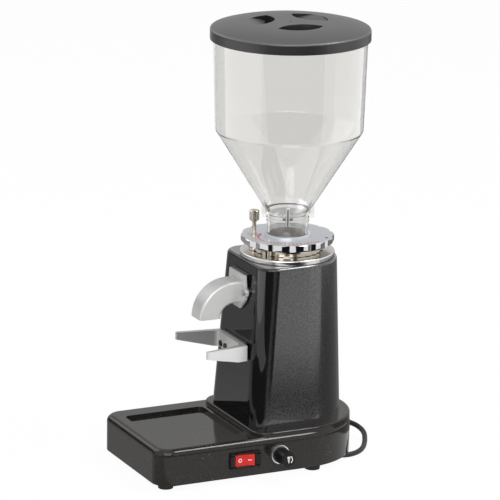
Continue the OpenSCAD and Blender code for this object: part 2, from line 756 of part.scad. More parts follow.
module chute() color([0.74, 0.74, 0.72]) difference() {
    union() {
        chute_tube(chute_seat, 0, 0);
        front_plate(chute_seat, chute_face) chute_outline(0);
        translate([-spigot_w / 2, -chute_seat - over, port_z - spigot_h / 2])
            cube([spigot_w, chute_seat - pad_y + over, spigot_h]);
    }
    chute_tube(chute_face, chute_wall, over);
    translate([-port_w / 2, -chute_face - over, port_z - port_h / 2])
        cube([port_w, chute_face - pad_y + 3 * over, port_h]);
    for (s = [-1, 1]) translate([s * ear_x, -chute_face - over, ear_z]) rotate([-90, 0, 0])
        cylinder(r = m4[2] + screw_fit, h = chute_flange_t + 2 * over);
}

module chute_screws() color("silver")
    for (s = [-1, 1]) translate([s * ear_x, -chute_face, ear_z]) rotate([90, 0, 0])
        screw(m4, chute_flange_t + tower_wall - 1);

fork_inner_r = 9;
// Right half of the plan of the fork, from the middle of its seat round the tip to its inner face
function fork_half() = let (arm = fork_t - 0.6)
    concat([[fork_root, -fork_seat]],
        arc([fork_tip - arm / 2, -fork_out + arm / 2], arm / 2, 0, -180, 8),
        arc([fork_root - arm - fork_inner_r, -fork_seat - fork_t - fork_inner_r], fork_inner_r, 8, 90, 6));
module fork_plan() {
    polygon(concat(fork_half(), [for (p = reversed(fork_half())) [-p[0], p[1]]]));
}

module portafilter_fork() color([0.72, 0.72, 0.70]) difference() {
    intersection() {
        translate([0, 0, fork_z - fork_h]) linear_extrude(fork_h) fork_plan();
        translate([fork_tip + over, 0, 0]) rotate([90, 0, -90]) linear_extrude(2 * (fork_tip + over))
            polygon([[fork_seat, fork_z - fork_h], [fork_seat, fork_z], [fork_out, fork_z],
                [fork_out, fork_z - fork_tip_h], [fork_seat + fork_t + 6, fork_z - fork_h]]);
    }
    for (x = fork_screw_x) translate([x, -fork_seat, fork_screw_z]) rotate([90, 0, 0]) {
        translate([0, 0, -over]) cylinder(r = m4[2] + screw_fit, h = fork_t + 2 * over);
        translate([0, 0, fork_t - fork_head_drop]) cylinder(r = m4[0] + 0.3, h = fork_head_drop + over);
    }
}

module fork_screws() color([0.12, 0.12, 0.12])
    for (x = fork_screw_x) translate([x, -fork_seat - fork_t + fork_head_drop, fork_screw_z])
        rotate([90, 0, 0])
        screw(m4, fork_t - fork_head_drop + boss_out + 2);

// Controls

module switch_case() color([0.07, 0.07, 0.07]) translate(switch_c) {
    difference() {
        union() {
            rotate([90, 0, 90]) linear_extrude(bezel_t) rounded_rect(bezel_l, bezel_h, 1.5);
            translate([-case_depth, -frame_l / 2 - case_wall, -frame_h / 2 - case_wall])
                cube([case_depth, frame_l + 2 * case_wall, frame_h + 2 * case_wall]);
        }
        translate([-case_depth + case_wall, -frame_l / 2, -frame_h / 2])
            cube([case_depth + bezel_t, frame_l, frame_h]);
        bezel_slope();
    }
    for (s = [-1, 1]) translate([rocker_pivot_x - panel_x, 0, s * (frame_h / 2 - 0.6)])
        cylinder(r = 1.2, h = 1.2, center = true);
    for (y = [-8, 0, 8]) translate([-case_depth - 7, y - 2.4, -0.4]) cube([7, 4.8, 0.8]);
}

// Four sloped inner faces of the switch frame
module bezel_slope() {
    slope = 4;
    for (s = [0, 1]) mirror([0, s, 0]) translate([bezel_t, frame_l / 2, -bezel_h])
        linear_extrude(2 * bezel_h) polygon([[over, -over], [over, slope + over], [-bezel_t / 2, 0],
            [-bezel_t / 2, -over]]);
    for (s = [0, 1]) mirror([0, 0, s]) translate([bezel_t, bezel_l, frame_h / 2])
        rotate([90, 0, 0]) linear_extrude(2 * bezel_l)
        polygon([[over, -over], [over, 1.6], [-bezel_t / 2, 0], [-bezel_t / 2, -over]]);
}

module rocker() color([0.85, 0.12, 0.10])
    translate([rocker_pivot_x, switch_c[1], switch_c[2]]) rotate([0, 0, -rocker_tilt]) difference() {
        translate([0, 0, -rocker_h / 2]) linear_extrude(rocker_h) {
            polygon([[-4, -5], [3, -rocker_l / 2], [6, -rocker_l / 2], [4.6, 0], [6, rocker_l / 2],
                [3, rocker_l / 2], [-4, 5]]);
            circle(3.5);
        }
        translate([0, 0, -rocker_h]) cylinder(r = 1.25, h = 2 * rocker_h);
    }

timer_bush_r = 4.5;
timer_spindle_r = 3;
module timer_unit() color([0.25, 0.25, 0.27]) on_panel(knob_c - [base_wall, 0, 0]) difference() {
    union() {
        translate([0, 0, -18]) cylinder(r = 14, h = 18);
        cylinder(r = timer_bush_r, h = base_wall + 2.4);
        for (a = [60, 180, 300]) rotate([0, 0, a]) translate([9, -1.5, -24]) cube([0.8, 3, 6]);
    }
    translate([0, 0, -14]) cylinder(r = timer_spindle_r + run_fit, h = 14 + base_wall + 3 + over);
}

module timer_nut() color("silver") on_panel(knob_c) difference() {
    cylinder(r = 7, h = 2, $fn = 6);
    translate([0, 0, -over]) cylinder(r = timer_bush_r + screw_fit, h = 2 + 2 * over);
}

module timer_shaft() color("silver") on_panel(knob_c)
    translate([0, 0, -base_wall - 13.5]) cylinder(r = timer_spindle_r, h = base_wall + 13.5 + knob_l - 4);

knob_gap = 0.6;
knob_ring_t = 2.6;
knob_cap_r = 7.4;
module timer_knob() color([0.08, 0.08, 0.08]) on_panel(knob_c + [knob_gap, 0, 0]) difference() {
    cylinder(r1 = knob_r, r2 = knob_face_r, h = knob_l);
    translate([0, 0, -over]) cylinder(r = 7.6, h = 3 + over);
    translate([0, 0, -over]) cylinder(r = timer_spindle_r + screw_fit, h = knob_l - 4 - knob_gap + over);
    translate([0, 0, knob_l - 0.8]) cylinder(r = knob_cap_r + screw_fit, h = 0.8 + over);
}

module knob_ring() color("silver") on_panel(knob_c + [knob_gap, 0, 0]) difference() {
    cylinder(r = knob_r + 1.2, h = knob_ring_t);
    translate([0, 0, -over]) cylinder(r = knob_r + screw_fit, h = knob_ring_t + 2 * over);
}

module knob_cap() color("silver") on_panel(knob_c + [knob_gap + knob_l - 0.8, 0, 0])
    cylinder(r = knob_cap_r, h = 1.4);

// Motor and drive

bell_screw_r = 26;
bell_screw_angles = [30, 150, 270];
bolt_r = 45.5;
bolt_angles = [45, 135, 225, 315];
winding_r = 40.5;

module motor_stator() color([0.45, 0.46, 0.48]) difference() {
    ring(motor_r, rotor_r + 0.5, z_stack, z_stack_top);
    at_polar(bolt_r, bolt_angles) translate([0, 0, z_stack - over])
        cylinder(r = m4[2] + screw_fit, h = stack_h + 2 * over);
}

module stator_windings() color([0.72, 0.40, 0.18])
    for (z = [z_stack_top, z_stack - 14]) rotate_extrude() translate([rotor_r + 2, z])
        translate([(winding_r - rotor_r - 2) / 2, 7]) rounded_rect(winding_r - rotor_r - 2, 14, 3);

// An end bell that opens downwards from the level z, with its bearing pocket
module end_bell() difference() {
    rotate_extrude() difference() {
        union() {
            translate([0, -9]) square([motor_r, 9]);
            translate([0, -17]) square([bearing_r + 4.5, 17]);
            translate([winding_r + 1.5, -bell_h]) square([motor_r - winding_r - 1.5, bell_h]);
        }
        translate([-over, -17 - over]) square([bearing_r + screw_fit + over, bearing_w + over]);
        translate([-over, -20]) square([shaft_r + 0.7 + over, 20 + over]);
    }
    at_polar(bolt_r, bolt_angles) translate([0, 0, -bell_h - over])
        cylinder(r = m4[2] + screw_fit, h = bell_h + 2 * over);
    at_polar(bell_screw_r, bell_screw_angles) translate([0, 0, -9 - over])
        cylinder(r = m4[2] + screw_fit, h = 9 + 2 * over);
    for (a = [0:45:315]) rotate([0, 0, a + 22.5]) translate([motor_r - 12, -5, -bell_h + 6])
        cube([14, 10, bell_h - 18]);
}

module upper_end_bell() color([0.62, 0.63, 0.64]) translate([0, 0, z_chamber_under]) end_bell();

module lower_end_bell() color([0.62, 0.63, 0.64])
    translate([0, 0, z_bell_low]) rotate([180, 0, 0]) end_bell();

module bearing(z) {
    difference() {
        ring(bearing_r, shaft_r + run_fit, z, z + bearing_w);
        for (e = [z - over, z + bearing_w - 0.8]) ring(bearing_r - 3, shaft_r + 3, e, e + 0.8 + over);
    }
}

module upper_bearing() color([0.7, 0.71, 0.73]) bearing(z_chamber_under - 17);

module lower_bearing() color([0.7, 0.71, 0.73]) bearing(z_bell_low + 17 - bearing_w);

module motor_bolts() color("silver")
    at_polar(bolt_r, bolt_angles) translate([0, 0, z_bell_low])
        rotate([180, 0, 0]) screw(m4, stack_h + 2 * bell_h - 1);

module bell_screws() color("silver")
    at_polar(bell_screw_r, bell_screw_angles) translate([0, 0, z_chamber - m4[1] - 0.6])
        screw(m4, chamber_floor_t - m4[1] - 0.6 + 7);

fan_h = 9;
z_fan = z_bell_low - fan_h - 4;
nut_h = 6;
tip_r = 5;
z_shaft_end = z_burr_low + 0.5;

module motor_shaft() color([0.75, 0.76, 0.78]) {
    translate([0, 0, z_fan]) cylinder(r = shaft_r, h = z_shaft_end - z_fan);
    translate([0, 0, z_shaft_end - over]) cylinder(r = tip_r, h = nut_h + over);
}

module rotor_core() color([0.5, 0.5, 0.52]) difference() {
    union() {
        translate([0, 0, z_stack]) cylinder(r = rotor_r, h = stack_h);
        for (z = [z_stack - 6, z_stack_top]) translate([0, 0, z]) cylinder(r = rotor_r - 3, h = 6);
    }
    translate([0, 0, z_stack - 7]) cylinder(r = shaft_r + screw_fit, h = stack_h + 14);
}

module cooling_fan() color([0.2, 0.2, 0.22]) difference() {
    union() {
        translate([0, 0, z_fan]) cylinder(r = 13, h = fan_h);
        translate([0, 0, z_fan]) cylinder(r = fan_r - 2, h = 1.6);
        for (k = [0:fan_blades - 1]) rotate([0, 0, k * 360 / fan_blades])
            translate([10, -0.8, z_fan]) cube([fan_r - 10, 1.6, fan_h]);
    }
    translate([0, 0, z_fan - over]) cylinder(r = shaft_r + screw_fit, h = fan_h + 2 * over);
}

module burr_carrier() color([0.8, 0.78, 0.7]) difference() {
    union() {
        translate([0, 0, z_carrier]) cylinder(r = burr_r, h = carrier_t);
        translate([0, 0, z_carrier]) cylinder(r = 15, h = carrier_t + 0.5);
        for (a = [0, 120, 240]) rotate([0, 0, a]) translate([burr_r - 4, -2, z_carrier])
            cube([carrier_r - burr_r + 4, 4, carrier_t]);
    }
    translate([0, 0, z_carrier - over]) cylinder(r = shaft_r + screw_fit, h = carrier_t + 4 * over);
    at_polar(burr_screw_r, burr_screw_angles) translate([0, 0, z_carrier - over])
        cylinder(r = m4[2] + screw_fit, h = carrier_t + 2 * over);
}

burr_screw_r = 25;
burr_screw_angles = [60, 180, 300];
// A burr with its cutting face up at the level z, its grooves deepest at the inner edge
module burr(z) difference() {
    ring(burr_r, burr_in_r, z, z + burr_t);
    for (k = [0:groove_count - 1]) rotate([0, 0, k * 360 / groove_count])
        translate([burr_in_r - 2, -6, z + burr_t]) rotate([0, -7, 12]) rotate([45, 0, 0])
            translate([0, -1.6, -1.6]) cube([burr_r, 3.2, 3.2]);
    at_polar(burr_screw_r, burr_screw_angles) {
        translate([0, 0, z - over]) cylinder(r = m4[2] + screw_fit, h = burr_t + 2 * over);
        translate([0, 0, z + burr_t - m4[1] - 1.4]) cylinder(r = m4[0] + 0.3, h = m4[1] + 1.4 + over);
    }
}

module lower_burr() color([0.66, 0.67, 0.68]) burr(z_burr_low);

module lower_burr_screws() color("silver")
    at_polar(burr_screw_r, burr_screw_angles) translate([0, 0, z_burr_low + burr_t - m4[1] - 1.4])
        screw(m4, burr_t - m4[1] - 1.4 + carrier_t - 1);

module carrier_nut() color("gold") difference() {
    translate([0, 0, z_shaft_end]) cylinder(r = 9, h = nut_h - 0.5, $fn = 6);
    translate([0, 0, z_shaft_end - over]) cylinder(r = tip_r + screw_fit, h = nut_h + 2 * over);
}

module upper_burr() color([0.66, 0.67, 0.68])
    translate([0, 0, z_burr_up + z_hub]) rotate([180, 0, 0]) burr(z_burr_up);

module upper_burr_screws() color("silver")
    at_polar(burr_screw_r, [for (a = burr_screw_angles) -a]) translate([0, 0, z_burr_up + m4[1] + 1.4])
        rotate([180, 0, 0]) screw(m4, burr_t - m4[1] - 1.4 + 7);

// Adjusting collar and its lock

spring_roof = z_rim + 5;
pin_tip = z_ring + 0.6;
flange_low = z_rim - 4;
spring_r = 3.9;
wire_r = 0.4;
spring_turns = 4;
lock_bore_r = 4.9;
lock_boss_r = lock_bore_r + 1.9;
// The blind mark hole in the top of the collar
dot_pitch_r = 49;
dot_turn = 73;
dot_depth = 3;
dot_r = 2;

bush_r = 7;
bush_sink = 2;
bush_rise = 0.8;
lobe_angle = gate_angle + 6.4 + 180 / lobe_count;

module adjusting_collar() color([0.72, 0.75, 0.80]) difference() {
    union() {
        translate([0, 0, z_hub]) cylinder(r = chamber_r - run_fit, h = z_ring + seat_gap - z_hub);
        translate([0, 0, z_ring + seat_gap]) cylinder(r = shoulder_r, h = rim_lift - seat_gap + over);
        at_polar(lock_pitch_r, [lock_angle]) translate([0, 0, z_ring + seat_gap])
            cylinder(r = lock_boss_r, h = rim_lift - seat_gap + over);
        intersection() {
            rotate_extrude() polygon([[0, z_rim], [collar_r - 2.4, z_rim], [collar_r, z_rim + 2.4],
                [collar_r, z_collar - 0.8], [collar_r - 0.8, z_collar], [0, z_collar]]);
            translate([0, 0, z_rim - over]) linear_extrude(collar_t + 2 * over) {
                circle(collar_r - lobe_r + 4);
                at_polar(collar_r - lobe_r, [for (k = [0:lobe_count - 1])
                    lobe_angle + k * 360 / lobe_count])
                    circle(lobe_r);
            }
        }
        translate([0, 0, z_collar - over]) cylinder(r = neck_r + slide_fit + lip_w, h = lip_h + over);
        at_polar(post_pitch_r, [post_angle + 180]) translate([-4, -4, z_rim - 5]) cube([7, 8, 5 + over]);
    }
    translate([0, 0, z_ring]) cylinder(r = neck_r + slide_fit, h = z_collar + lip_h + over - z_ring);
    translate([0, 0, z_hub - over]) cylinder(r = burr_in_r + 2, h = chamber_depth);
    translate([0, 0, z_ring - 12]) cylinder(r1 = burr_in_r + 2, r2 = neck_r - hopper_wall, h = 12 + 0.01);
    at_polar(lock_pitch_r, [lock_angle]) {
        translate([0, 0, z_ring]) cylinder(r = lock_pin_r + run_fit, h = z_collar);
        translate([0, 0, z_ring]) cylinder(r = lock_bore_r, h = spring_roof - z_ring);
        translate([0, 0, z_collar - bush_sink]) cylinder(r = bush_r + screw_fit, h = bush_sink + over);
    }
    at_polar(burr_screw_r, [for (a = burr_screw_angles) -a]) translate([0, 0, z_hub - over])
        cylinder(r = m4[2] + screw_fit, h = 8 + over);
    at_polar(dot_pitch_r, [gate_angle + dot_turn]) translate([0, 0, z_collar - dot_depth])
        cylinder(r = dot_r, h = dot_depth + over);
}

module lock_bush() color([0.78, 0.74, 0.66]) at_polar(lock_pitch_r, [lock_angle])
    ring(bush_r, lock_pin_r + run_fit, z_collar - bush_sink, z_collar + bush_rise);

module lock_plunger() color([0.78, 0.74, 0.66]) at_polar(lock_pitch_r, [lock_angle]) {
    head_z = z_collar + lock_stem;
    translate([0, 0, pin_tip]) cylinder(r = lock_pin_r, h = z_collar + 2 - pin_tip);
    translate([0, 0, flange_low]) cylinder(r = lock_bore_r - 0.35, h = 2);
    translate([0, 0, z_collar + 1]) cylinder(r = lock_pin_r - 0.6, h = lock_stem);
    translate([0, 0, head_z]) difference() {
        rotate_extrude() polygon([[0, 0], [lock_pin_r, 0], [lock_head_r, 3], [lock_head_r, lock_head_h - 1],
            [lock_head_r - 1, lock_head_h], [0, lock_head_h]]);
        for (k = [0:19]) rotate([0, 0, 18 * k]) translate([lock_head_r + 0.35, 0, 3.4])
            cylinder(r = 0.7, h = lock_head_h - 5);
    }
}

spring_low = flange_low + 2 + wire_r + 0.1;
spring_top = spring_roof - wire_r - 0.1;
spring_steps = 8 * spring_turns;
spring_points = [for (i = [0:spring_steps]) let (a = 360 * spring_turns * i / spring_steps)
    [spring_r * cos(a), spring_r * sin(a), spring_low + (spring_top - spring_low) * i / spring_steps]];
module lock_spring() color([0.6, 0.6, 0.62]) at_polar(lock_pitch_r, [lock_angle])
    tube(spring_points, wire_r, coil_sides, [0, 1, 0], [0, 1, 0]);

// Hopper, slide and lid

function arc(c, r, a0, a1, n) = [for (i = [0:n]) c + r * [cos(a0 + (a1 - a0) * i / n),
    sin(a0 + (a1 - a0) * i / n)]];
cone_low_r = neck_r + 2.5;
cone_tilt = atan2(cone_h, hopper_low_r - cone_low_r);
wall_tilt = atan2(hopper_h, hopper_r - hopper_low_r);
// The outer line of the hopper from the cone to the rim, moved in by inset
function hopper_line(inset) = let (
        turn = wall_tilt - cone_tilt,
        bend = hopper_round * tan(turn / 2),
        corner = [hopper_low_r, z_shoulder],
        start = corner - bend * [cos(cone_tilt), sin(cone_tilt)],
        centre = start + hopper_round * [-sin(cone_tilt), cos(cone_tilt)])
    concat([[cone_low_r - inset / sin(cone_tilt), z_cone]],
        arc(centre, hopper_round - inset, cone_tilt - 90, wall_tilt - 90, 6),
        [[hopper_r - inset, z_hopper]]);
function reversed(p) = [for (i = [len(p) - 1:-1:0]) p[i]];

neck_in_r = neck_r - hopper_wall;
z_neck = z_ring + seat_gap;
slot_z = z_gate - slide_fit;
slot_h = gate_t + 2 * slide_fit;
gate_r = neck_in_r - slide_fit - 0.4;
rail_in = neck_r - 0.6;
rail_out = neck_r + 6.6;
rail_l = 14;
rail_rise = 7;
bead_levels = [z_gate - 5, z_gate - 9];
bead_out = 0.8;
bead_h = 1.6;

module hopper() color([0.85, 0.88, 0.9, 0.45])
    rotate_extrude() polygon(concat(hopper_line(0), reversed(hopper_line(hopper_wall))));

module hopper_neck() color([0.85, 0.88, 0.9, 0.45]) difference() {
    union() {
        translate([0, 0, z_neck]) cylinder(r = neck_r, h = z_cone - z_neck);
        translate([0, 0, slot_z + slot_h]) cylinder(r = cone_low_r, h = z_cone - slot_z - slot_h);
        for (z = bead_levels) translate([0, 0, z]) cylinder(r = neck_r + bead_out, h = bead_h);
        rotate([0, 0, gate_angle]) for (s = [-1, 1])
            translate([-rail_l / 2, s * (rail_in + rail_out) / 2 - (rail_out - rail_in) / 2, slot_z - 4])
                cube([rail_l, rail_out - rail_in, z_cone + rail_rise - slot_z + 4]);
    }
    translate([0, 0, z_neck - over]) cylinder(r = neck_in_r, h = z_cone - z_neck + 2 * over);
    translate([0, 0, z_cone])
        cylinder(r1 = cone_low_r, r2 = cone_low_r + 2 * rail_rise / tan(cone_tilt), h = 2 * rail_rise);
    rotate([0, 0, gate_angle]) translate([0, -gate_r - slide_fit, slot_z])
        cube([pull_out + 10, 2 * (gate_r + slide_fit), slot_h]);
}

module hopper_gate() color([0.6, 0.61, 0.63]) rotate([0, 0, gate_angle]) {
    translate([0, 0, z_gate]) cylinder(r = gate_r, h = gate_t);
    translate([0, -6, z_gate]) cube([pull_out, 12, gate_t]);
    translate([pull_out, 0, z_gate - 7]) cylinder(r = pull_r, h = pull_len);
    translate([pull_out, 0, z_gate - 7 + pull_len]) sphere(r = pull_r);
}

// Plan of a finger recess: a lens whose long side lies across the line to the middle
module lens(l, w) {
    r = (l * l / 4 + w * w / 4) / w;
    intersection() {
        translate([r - w / 2, 0]) circle(r);
        translate([w / 2 - r, 0]) circle(r);
    }
}

// The top of the lid falls by the fourth power of the radius and ends in a rounded rim
lid_fall = lid_dome - 0.75 * lid_edge_r;
function lid_z(r) = z_lid - lid_fall * pow(r / lid_r, 4);
rim_slope = atan(4 * lid_fall / lid_r * pow(1 - lid_edge_r / lid_r, 3));
rim_start_r = lid_r - lid_edge_r * (1 - sin(rim_slope));
rim_centre = [lid_r - lid_edge_r, lid_z(rim_start_r) - lid_edge_r * cos(rim_slope)];
lid_steps = 14;
z_skirt = z_lid_edge - lid_skirt;
seat_in_r = hopper_r - 12;
lid_profile = concat([for (i = [0:lid_steps - 1]) let (r = rim_start_r * i / lid_steps) [r, lid_z(r)]],
    arc(rim_centre, lid_edge_r, 90 - rim_slope, 0, 4),
    [[lid_r, z_skirt], [hopper_r + slide_fit, z_skirt], [hopper_r + slide_fit, z_lid_in], [seat_in_r,
        z_lid_in]],
    [for (i = [lid_steps:-1:0]) let (r = seat_in_r * i / lid_steps) [r, lid_z(r) - lid_wall]]);

grip_angles = [for (k = [0:2]) gate_angle + 20 + 120 * k];
z_grip = lid_z(grip_pitch_r + grip_w / 2);
grip_floor = z_grip - grip_depth;
module hopper_lid() color([0.27, 0.26, 0.26]) difference() {
    union() {
        rotate_extrude() polygon(lid_profile);
        at_polar(grip_pitch_r, grip_angles) translate([0, 0, grip_floor - lid_wall])
            linear_extrude(grip_depth + lid_wall - over) lens(grip_len + 6, grip_w + 5);
    }
    at_polar(grip_pitch_r, grip_angles) intersection() {
        translate([0, 0, grip_floor]) linear_extrude(grip_depth + lid_dome) lens(grip_len, grip_w);
        union() {
            translate([-grip_w, -grip_len, grip_floor - over])
                cube([grip_w, 2 * grip_len, grip_depth + 2 * lid_dome]);
            rotate([90, 0, 0]) linear_extrude(2 * grip_len, center = true)
                polygon([[-over, z_grip - grip_slope], [0, z_grip - grip_slope], [grip_w / 2, z_grip],
                    [grip_w / 2, z_lid + over], [-over, z_lid + over]]);
        }
    }
    translate([0, 0, z_lid]) sphere(r = 1.6);
}

// Electrical pieces in the base

cap_r = 14;
cap_l = 70;
cap_c = [-20, -145, plate_rest + 1.5 + cap_r];
module capacitor() color([0.85, 0.85, 0.82]) translate(cap_c) rotate([0, 90, 0]) {
    translate([0, 0, -cap_l / 2]) cylinder(r = cap_r, h = cap_l);
    for (s = [-4, 4]) translate([s - 0.4, -3, cap_l / 2]) cube([0.8, 6, 8]);
}

module capacitor_clip() color("dimgray") difference() {
    translate([cap_c[0] - 8, cap_c[1] - cap_r - 4, plate_rest]) cube([16, 2 * cap_r + 8, cap_r]);
    translate([cap_c[0] - 10, cap_c[1], cap_c[2]]) rotate([0, 90, 0]) cylinder(r = cap_r + screw_fit,
        h = 20);
}

terminal_size = [44, 20, 15];
terminal_at = [-40, 28, plate_rest];
module terminal_block() color([0.9, 0.9, 0.88]) difference() {
    translate(terminal_at) cube(terminal_size);
    for (k = [0:3]) translate(terminal_at + [5.5 + 11 * k, terminal_size[1] / 2, 4])
        cylinder(r = 2.6, h = terminal_size[2]);
}

board_size = [76, 42, 1.6];
board_lift = 6;
board_at = [-46, -112, plate_rest + board_lift];
board_post = 4;
relay_at = [8, 10];
relay_size = [20, 16, 15];
smoother_at = [40, 20];
smoother_r = 6;
smoother_h = 12;
socket_at = [56, 8];
socket_size = [12, 26, 9];
module control_board() color([0.1, 0.35, 0.2]) {
    translate(board_at) cube(board_size);
    for (x = [board_post, board_size[0] - board_post], y = [board_post, board_size[1] - board_post])
        translate([board_at[0] + x, board_at[1] + y, plate_rest]) cylinder(r = board_post - 1,
            h = board_lift);
    translate(board_at + [relay_at[0], relay_at[1], board_size[2]]) cube(relay_size);
    translate(board_at + [smoother_at[0], smoother_at[1], board_size[2]]) cylinder(r = smoother_r,
        h = smoother_h);
    translate(board_at + [socket_at[0], socket_at[1], board_size[2]]) cube(socket_size);
}

// Mains lead

relief_tip_r = 4.2;
relief_flange_r = relief_r + 2;
relief_collar_r = relief_r + 1.5;
// The flat flange and collar stay clear of the round wall on both of its faces
relief_in_y = rear_y + sqrt(pow(base_r - base_wall, 2) - pow(lead_x - relief_flange_r, 2)) - panel_fit;
relief_out_y = rear_y + sqrt(pow(base_r, 2) - pow(lead_x + relief_collar_r, 2)) + panel_fit;
module strain_relief() color([0.1, 0.1, 0.1])
    translate([lead_x, 0, z_base + exit_z]) rotate([-90, 0, 0]) {
        translate([0, 0, relief_in_y - 3]) cylinder(r = relief_flange_r, h = 3);
        translate([0, 0, relief_in_y - over]) cylinder(r = relief_r,
            h = relief_out_y - relief_in_y + 2 * over);
        difference() {
            translate([0, 0, relief_out_y])
                cylinder(r1 = relief_collar_r, r2 = relief_tip_r, h = exit_p[1] - relief_out_y);
            for (k = [0:1]) translate([0, 0, relief_out_y + 3 + 3 * k])
                ring(relief_collar_r + over, relief_r - 0.6 - 0.8 * k, 0, 1.2);
        }
    }

module cord_run() color([0.12, 0.12, 0.12]) tube(run_points, cord_r, 10, [0, 1, 0], [-1, 0, 0]);

coil_in_r = coil_out_r - coil_pitch * coil_turns;
coil_total = 2 * coil_turns + 0.5;
function smooth(x) = x * x * (3 - 2 * x);
function coil_at(t) = let (
        back = max(0, t - coil_turns - 0.5),
        climb = min(1, max(0, (t - coil_turns) / 0.5)),
        r = coil_out_r - coil_pitch * (min(t, coil_turns) - back),
        a = -90 - 360 * t)
    [coil_c[0] + r * cos(a), coil_c[1] + r * sin(a), cord_r + coil_layer * smooth(climb)];
coil_steps = rings_per_turn * coil_total;
coil_start = [coil_c[0] + 2 * cord_r, coil_c[1] - coil_out_r, cord_r];
coil_end = [coil_c[0] - 2 * cord_r, coil_c[1] - coil_out_r, cord_r + coil_layer];
coil_points = concat([coil_start], [for (i = [0:coil_steps]) coil_at(i / rings_per_turn)], [coil_end]);
coil_gap = min([for (i = [0:coil_steps], j = [0:coil_steps])
    if (j > i + rings_per_turn / 2) norm(coil_points[i] - coil_points[j])]) - 2 * cord_r;
module cord_coil() color([0.12, 0.12, 0.12]) {
    echo(coil_gap = coil_gap);
    tube(coil_points, cord_r, coil_sides, [-1, 0, 0], [-1, 0, 0]);
}

tail_n = len(tail_points);
tail_last = tail_points[tail_n - 1];
module cord_tail() color([0.12, 0.12, 0.12]) tube(tail_points, cord_r, 10, [-1, 0, 0], [0, 1, 0]);

module plug_body() color([0.1, 0.1, 0.1]) translate(tail_last) rotate([-90, 0, 0]) difference() {
    rotate_extrude() polygon([[0, 0], [cord_r + 1.4, 0], [cord_r + 2.6, plug_neck], [plug_r - 5,
        plug_neck + 4],
        [plug_r, plug_neck + 10], [plug_r, plug_l + plug_neck], [0, plug_l + plug_neck]]);
    for (s = [-1, 1]) translate([s * plug_r - 2.5, -2.5, 2 * plug_neck]) cube([5, 5, plug_l]);
}

module plug_pins() color([0.75, 0.76, 0.78]) translate(tail_last) rotate([-90, 0, 0])
    for (s = [-1, 1]) translate([s * pin_gap / 2, 0, plug_l + plug_neck]) {
        cylinder(r = pin_r, h = pin_l - pin_r);
        translate([0, 0, pin_l - pin_r]) sphere(r = pin_r);
    }

base_housing();
base_plate();
plate_screws();
rubber_feet();
foot_screws();
tower_housing();
tower_screws();
burr_chamber();
chamber_screws();
stop_post();
chute();
chute_screws();
portafilter_fork();
fork_screws();
switch_case();
timer_unit();
timer_nut();
motor_stator();
stator_windings();
upper_end_bell();
lower_end_bell();
upper_bearing();
lower_bearing();
motor_bolts();
bell_screws();
capacitor();
capacitor_clip();
terminal_block();
control_board();
strain_relief();
cord_run();
cord_coil();
cord_tail();
plug_body();
plug_pins();
motor_shaft();
rotor_core();
cooling_fan();
burr_carrier();
lower_burr();
lower_burr_screws();
carrier_nut();
adjusting_collar();
upper_burr();
upper_burr_screws();
lock_plunger();
lock_spring();
lock_bush();
hopper();
hopper_neck();
hopper_gate();
hopper_lid();
rocker();
timer_shaft();
timer_knob();
knob_ring();
knob_cap();
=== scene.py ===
"""The looks of an electric coffee grinder: finishes, printed marks, the mains lead, studio and camera."""
import json
import math

import bmesh
import bpy
from mathutils import Matrix, Vector

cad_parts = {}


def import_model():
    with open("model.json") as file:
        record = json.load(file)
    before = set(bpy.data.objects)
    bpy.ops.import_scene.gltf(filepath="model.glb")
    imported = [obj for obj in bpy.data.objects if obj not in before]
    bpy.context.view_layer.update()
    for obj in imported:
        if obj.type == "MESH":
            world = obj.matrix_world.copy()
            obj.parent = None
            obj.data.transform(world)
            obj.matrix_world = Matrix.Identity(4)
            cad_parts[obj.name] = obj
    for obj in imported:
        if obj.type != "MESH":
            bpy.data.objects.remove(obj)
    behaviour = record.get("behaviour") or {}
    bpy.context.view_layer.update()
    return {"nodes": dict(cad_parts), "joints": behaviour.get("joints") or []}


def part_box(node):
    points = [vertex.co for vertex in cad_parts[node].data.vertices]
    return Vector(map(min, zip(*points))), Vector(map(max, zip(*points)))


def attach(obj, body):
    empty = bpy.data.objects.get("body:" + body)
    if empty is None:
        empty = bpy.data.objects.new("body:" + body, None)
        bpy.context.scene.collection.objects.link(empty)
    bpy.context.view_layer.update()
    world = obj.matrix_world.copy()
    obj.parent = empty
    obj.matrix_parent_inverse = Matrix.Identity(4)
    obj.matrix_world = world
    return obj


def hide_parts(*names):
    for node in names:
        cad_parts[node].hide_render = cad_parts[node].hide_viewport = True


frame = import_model()
nodes = frame["nodes"]
joints = {joint["name"]: joint for joint in frame["joints"]}

MM = 0.001

# The collar: a lip stands round the bore on its top face, and the shoulder lies under the lobed rim
COLLAR_LIP = 2.4 * MM
COLLAR_RIM = 8.4 * MM
COLLAR_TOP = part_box("adjusting_collar")[1].z - COLLAR_LIP
RIM_UNDER = COLLAR_TOP - COLLAR_RIM

# What the marks sit on. The rocker rests half of its travel off level
KNOB_AXIS = Vector(joints["knob_turn"]["pos_m"])
KNOB_FACE_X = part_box("knob_cap")[1].x
ROCKER_PIVOT = Vector(joints["switch_tilt"]["pos_m"])
ROCKER_REST = -math.radians(joints["switch_tilt"]["range_deg"][1] / 2)
MARK_T = 0.12 * MM

# Turns a mark that is drawn flat on the floor so that it faces +X
FACE_X = Matrix(((0, 0, 1, 0), (1, 0, 0, 0), (0, 1, 0, 0), (0, 0, 0, 1)))

# Smooth shading stops at edges that turn by more than this
SHARP_ANGLE = math.radians(28)


# Node trees

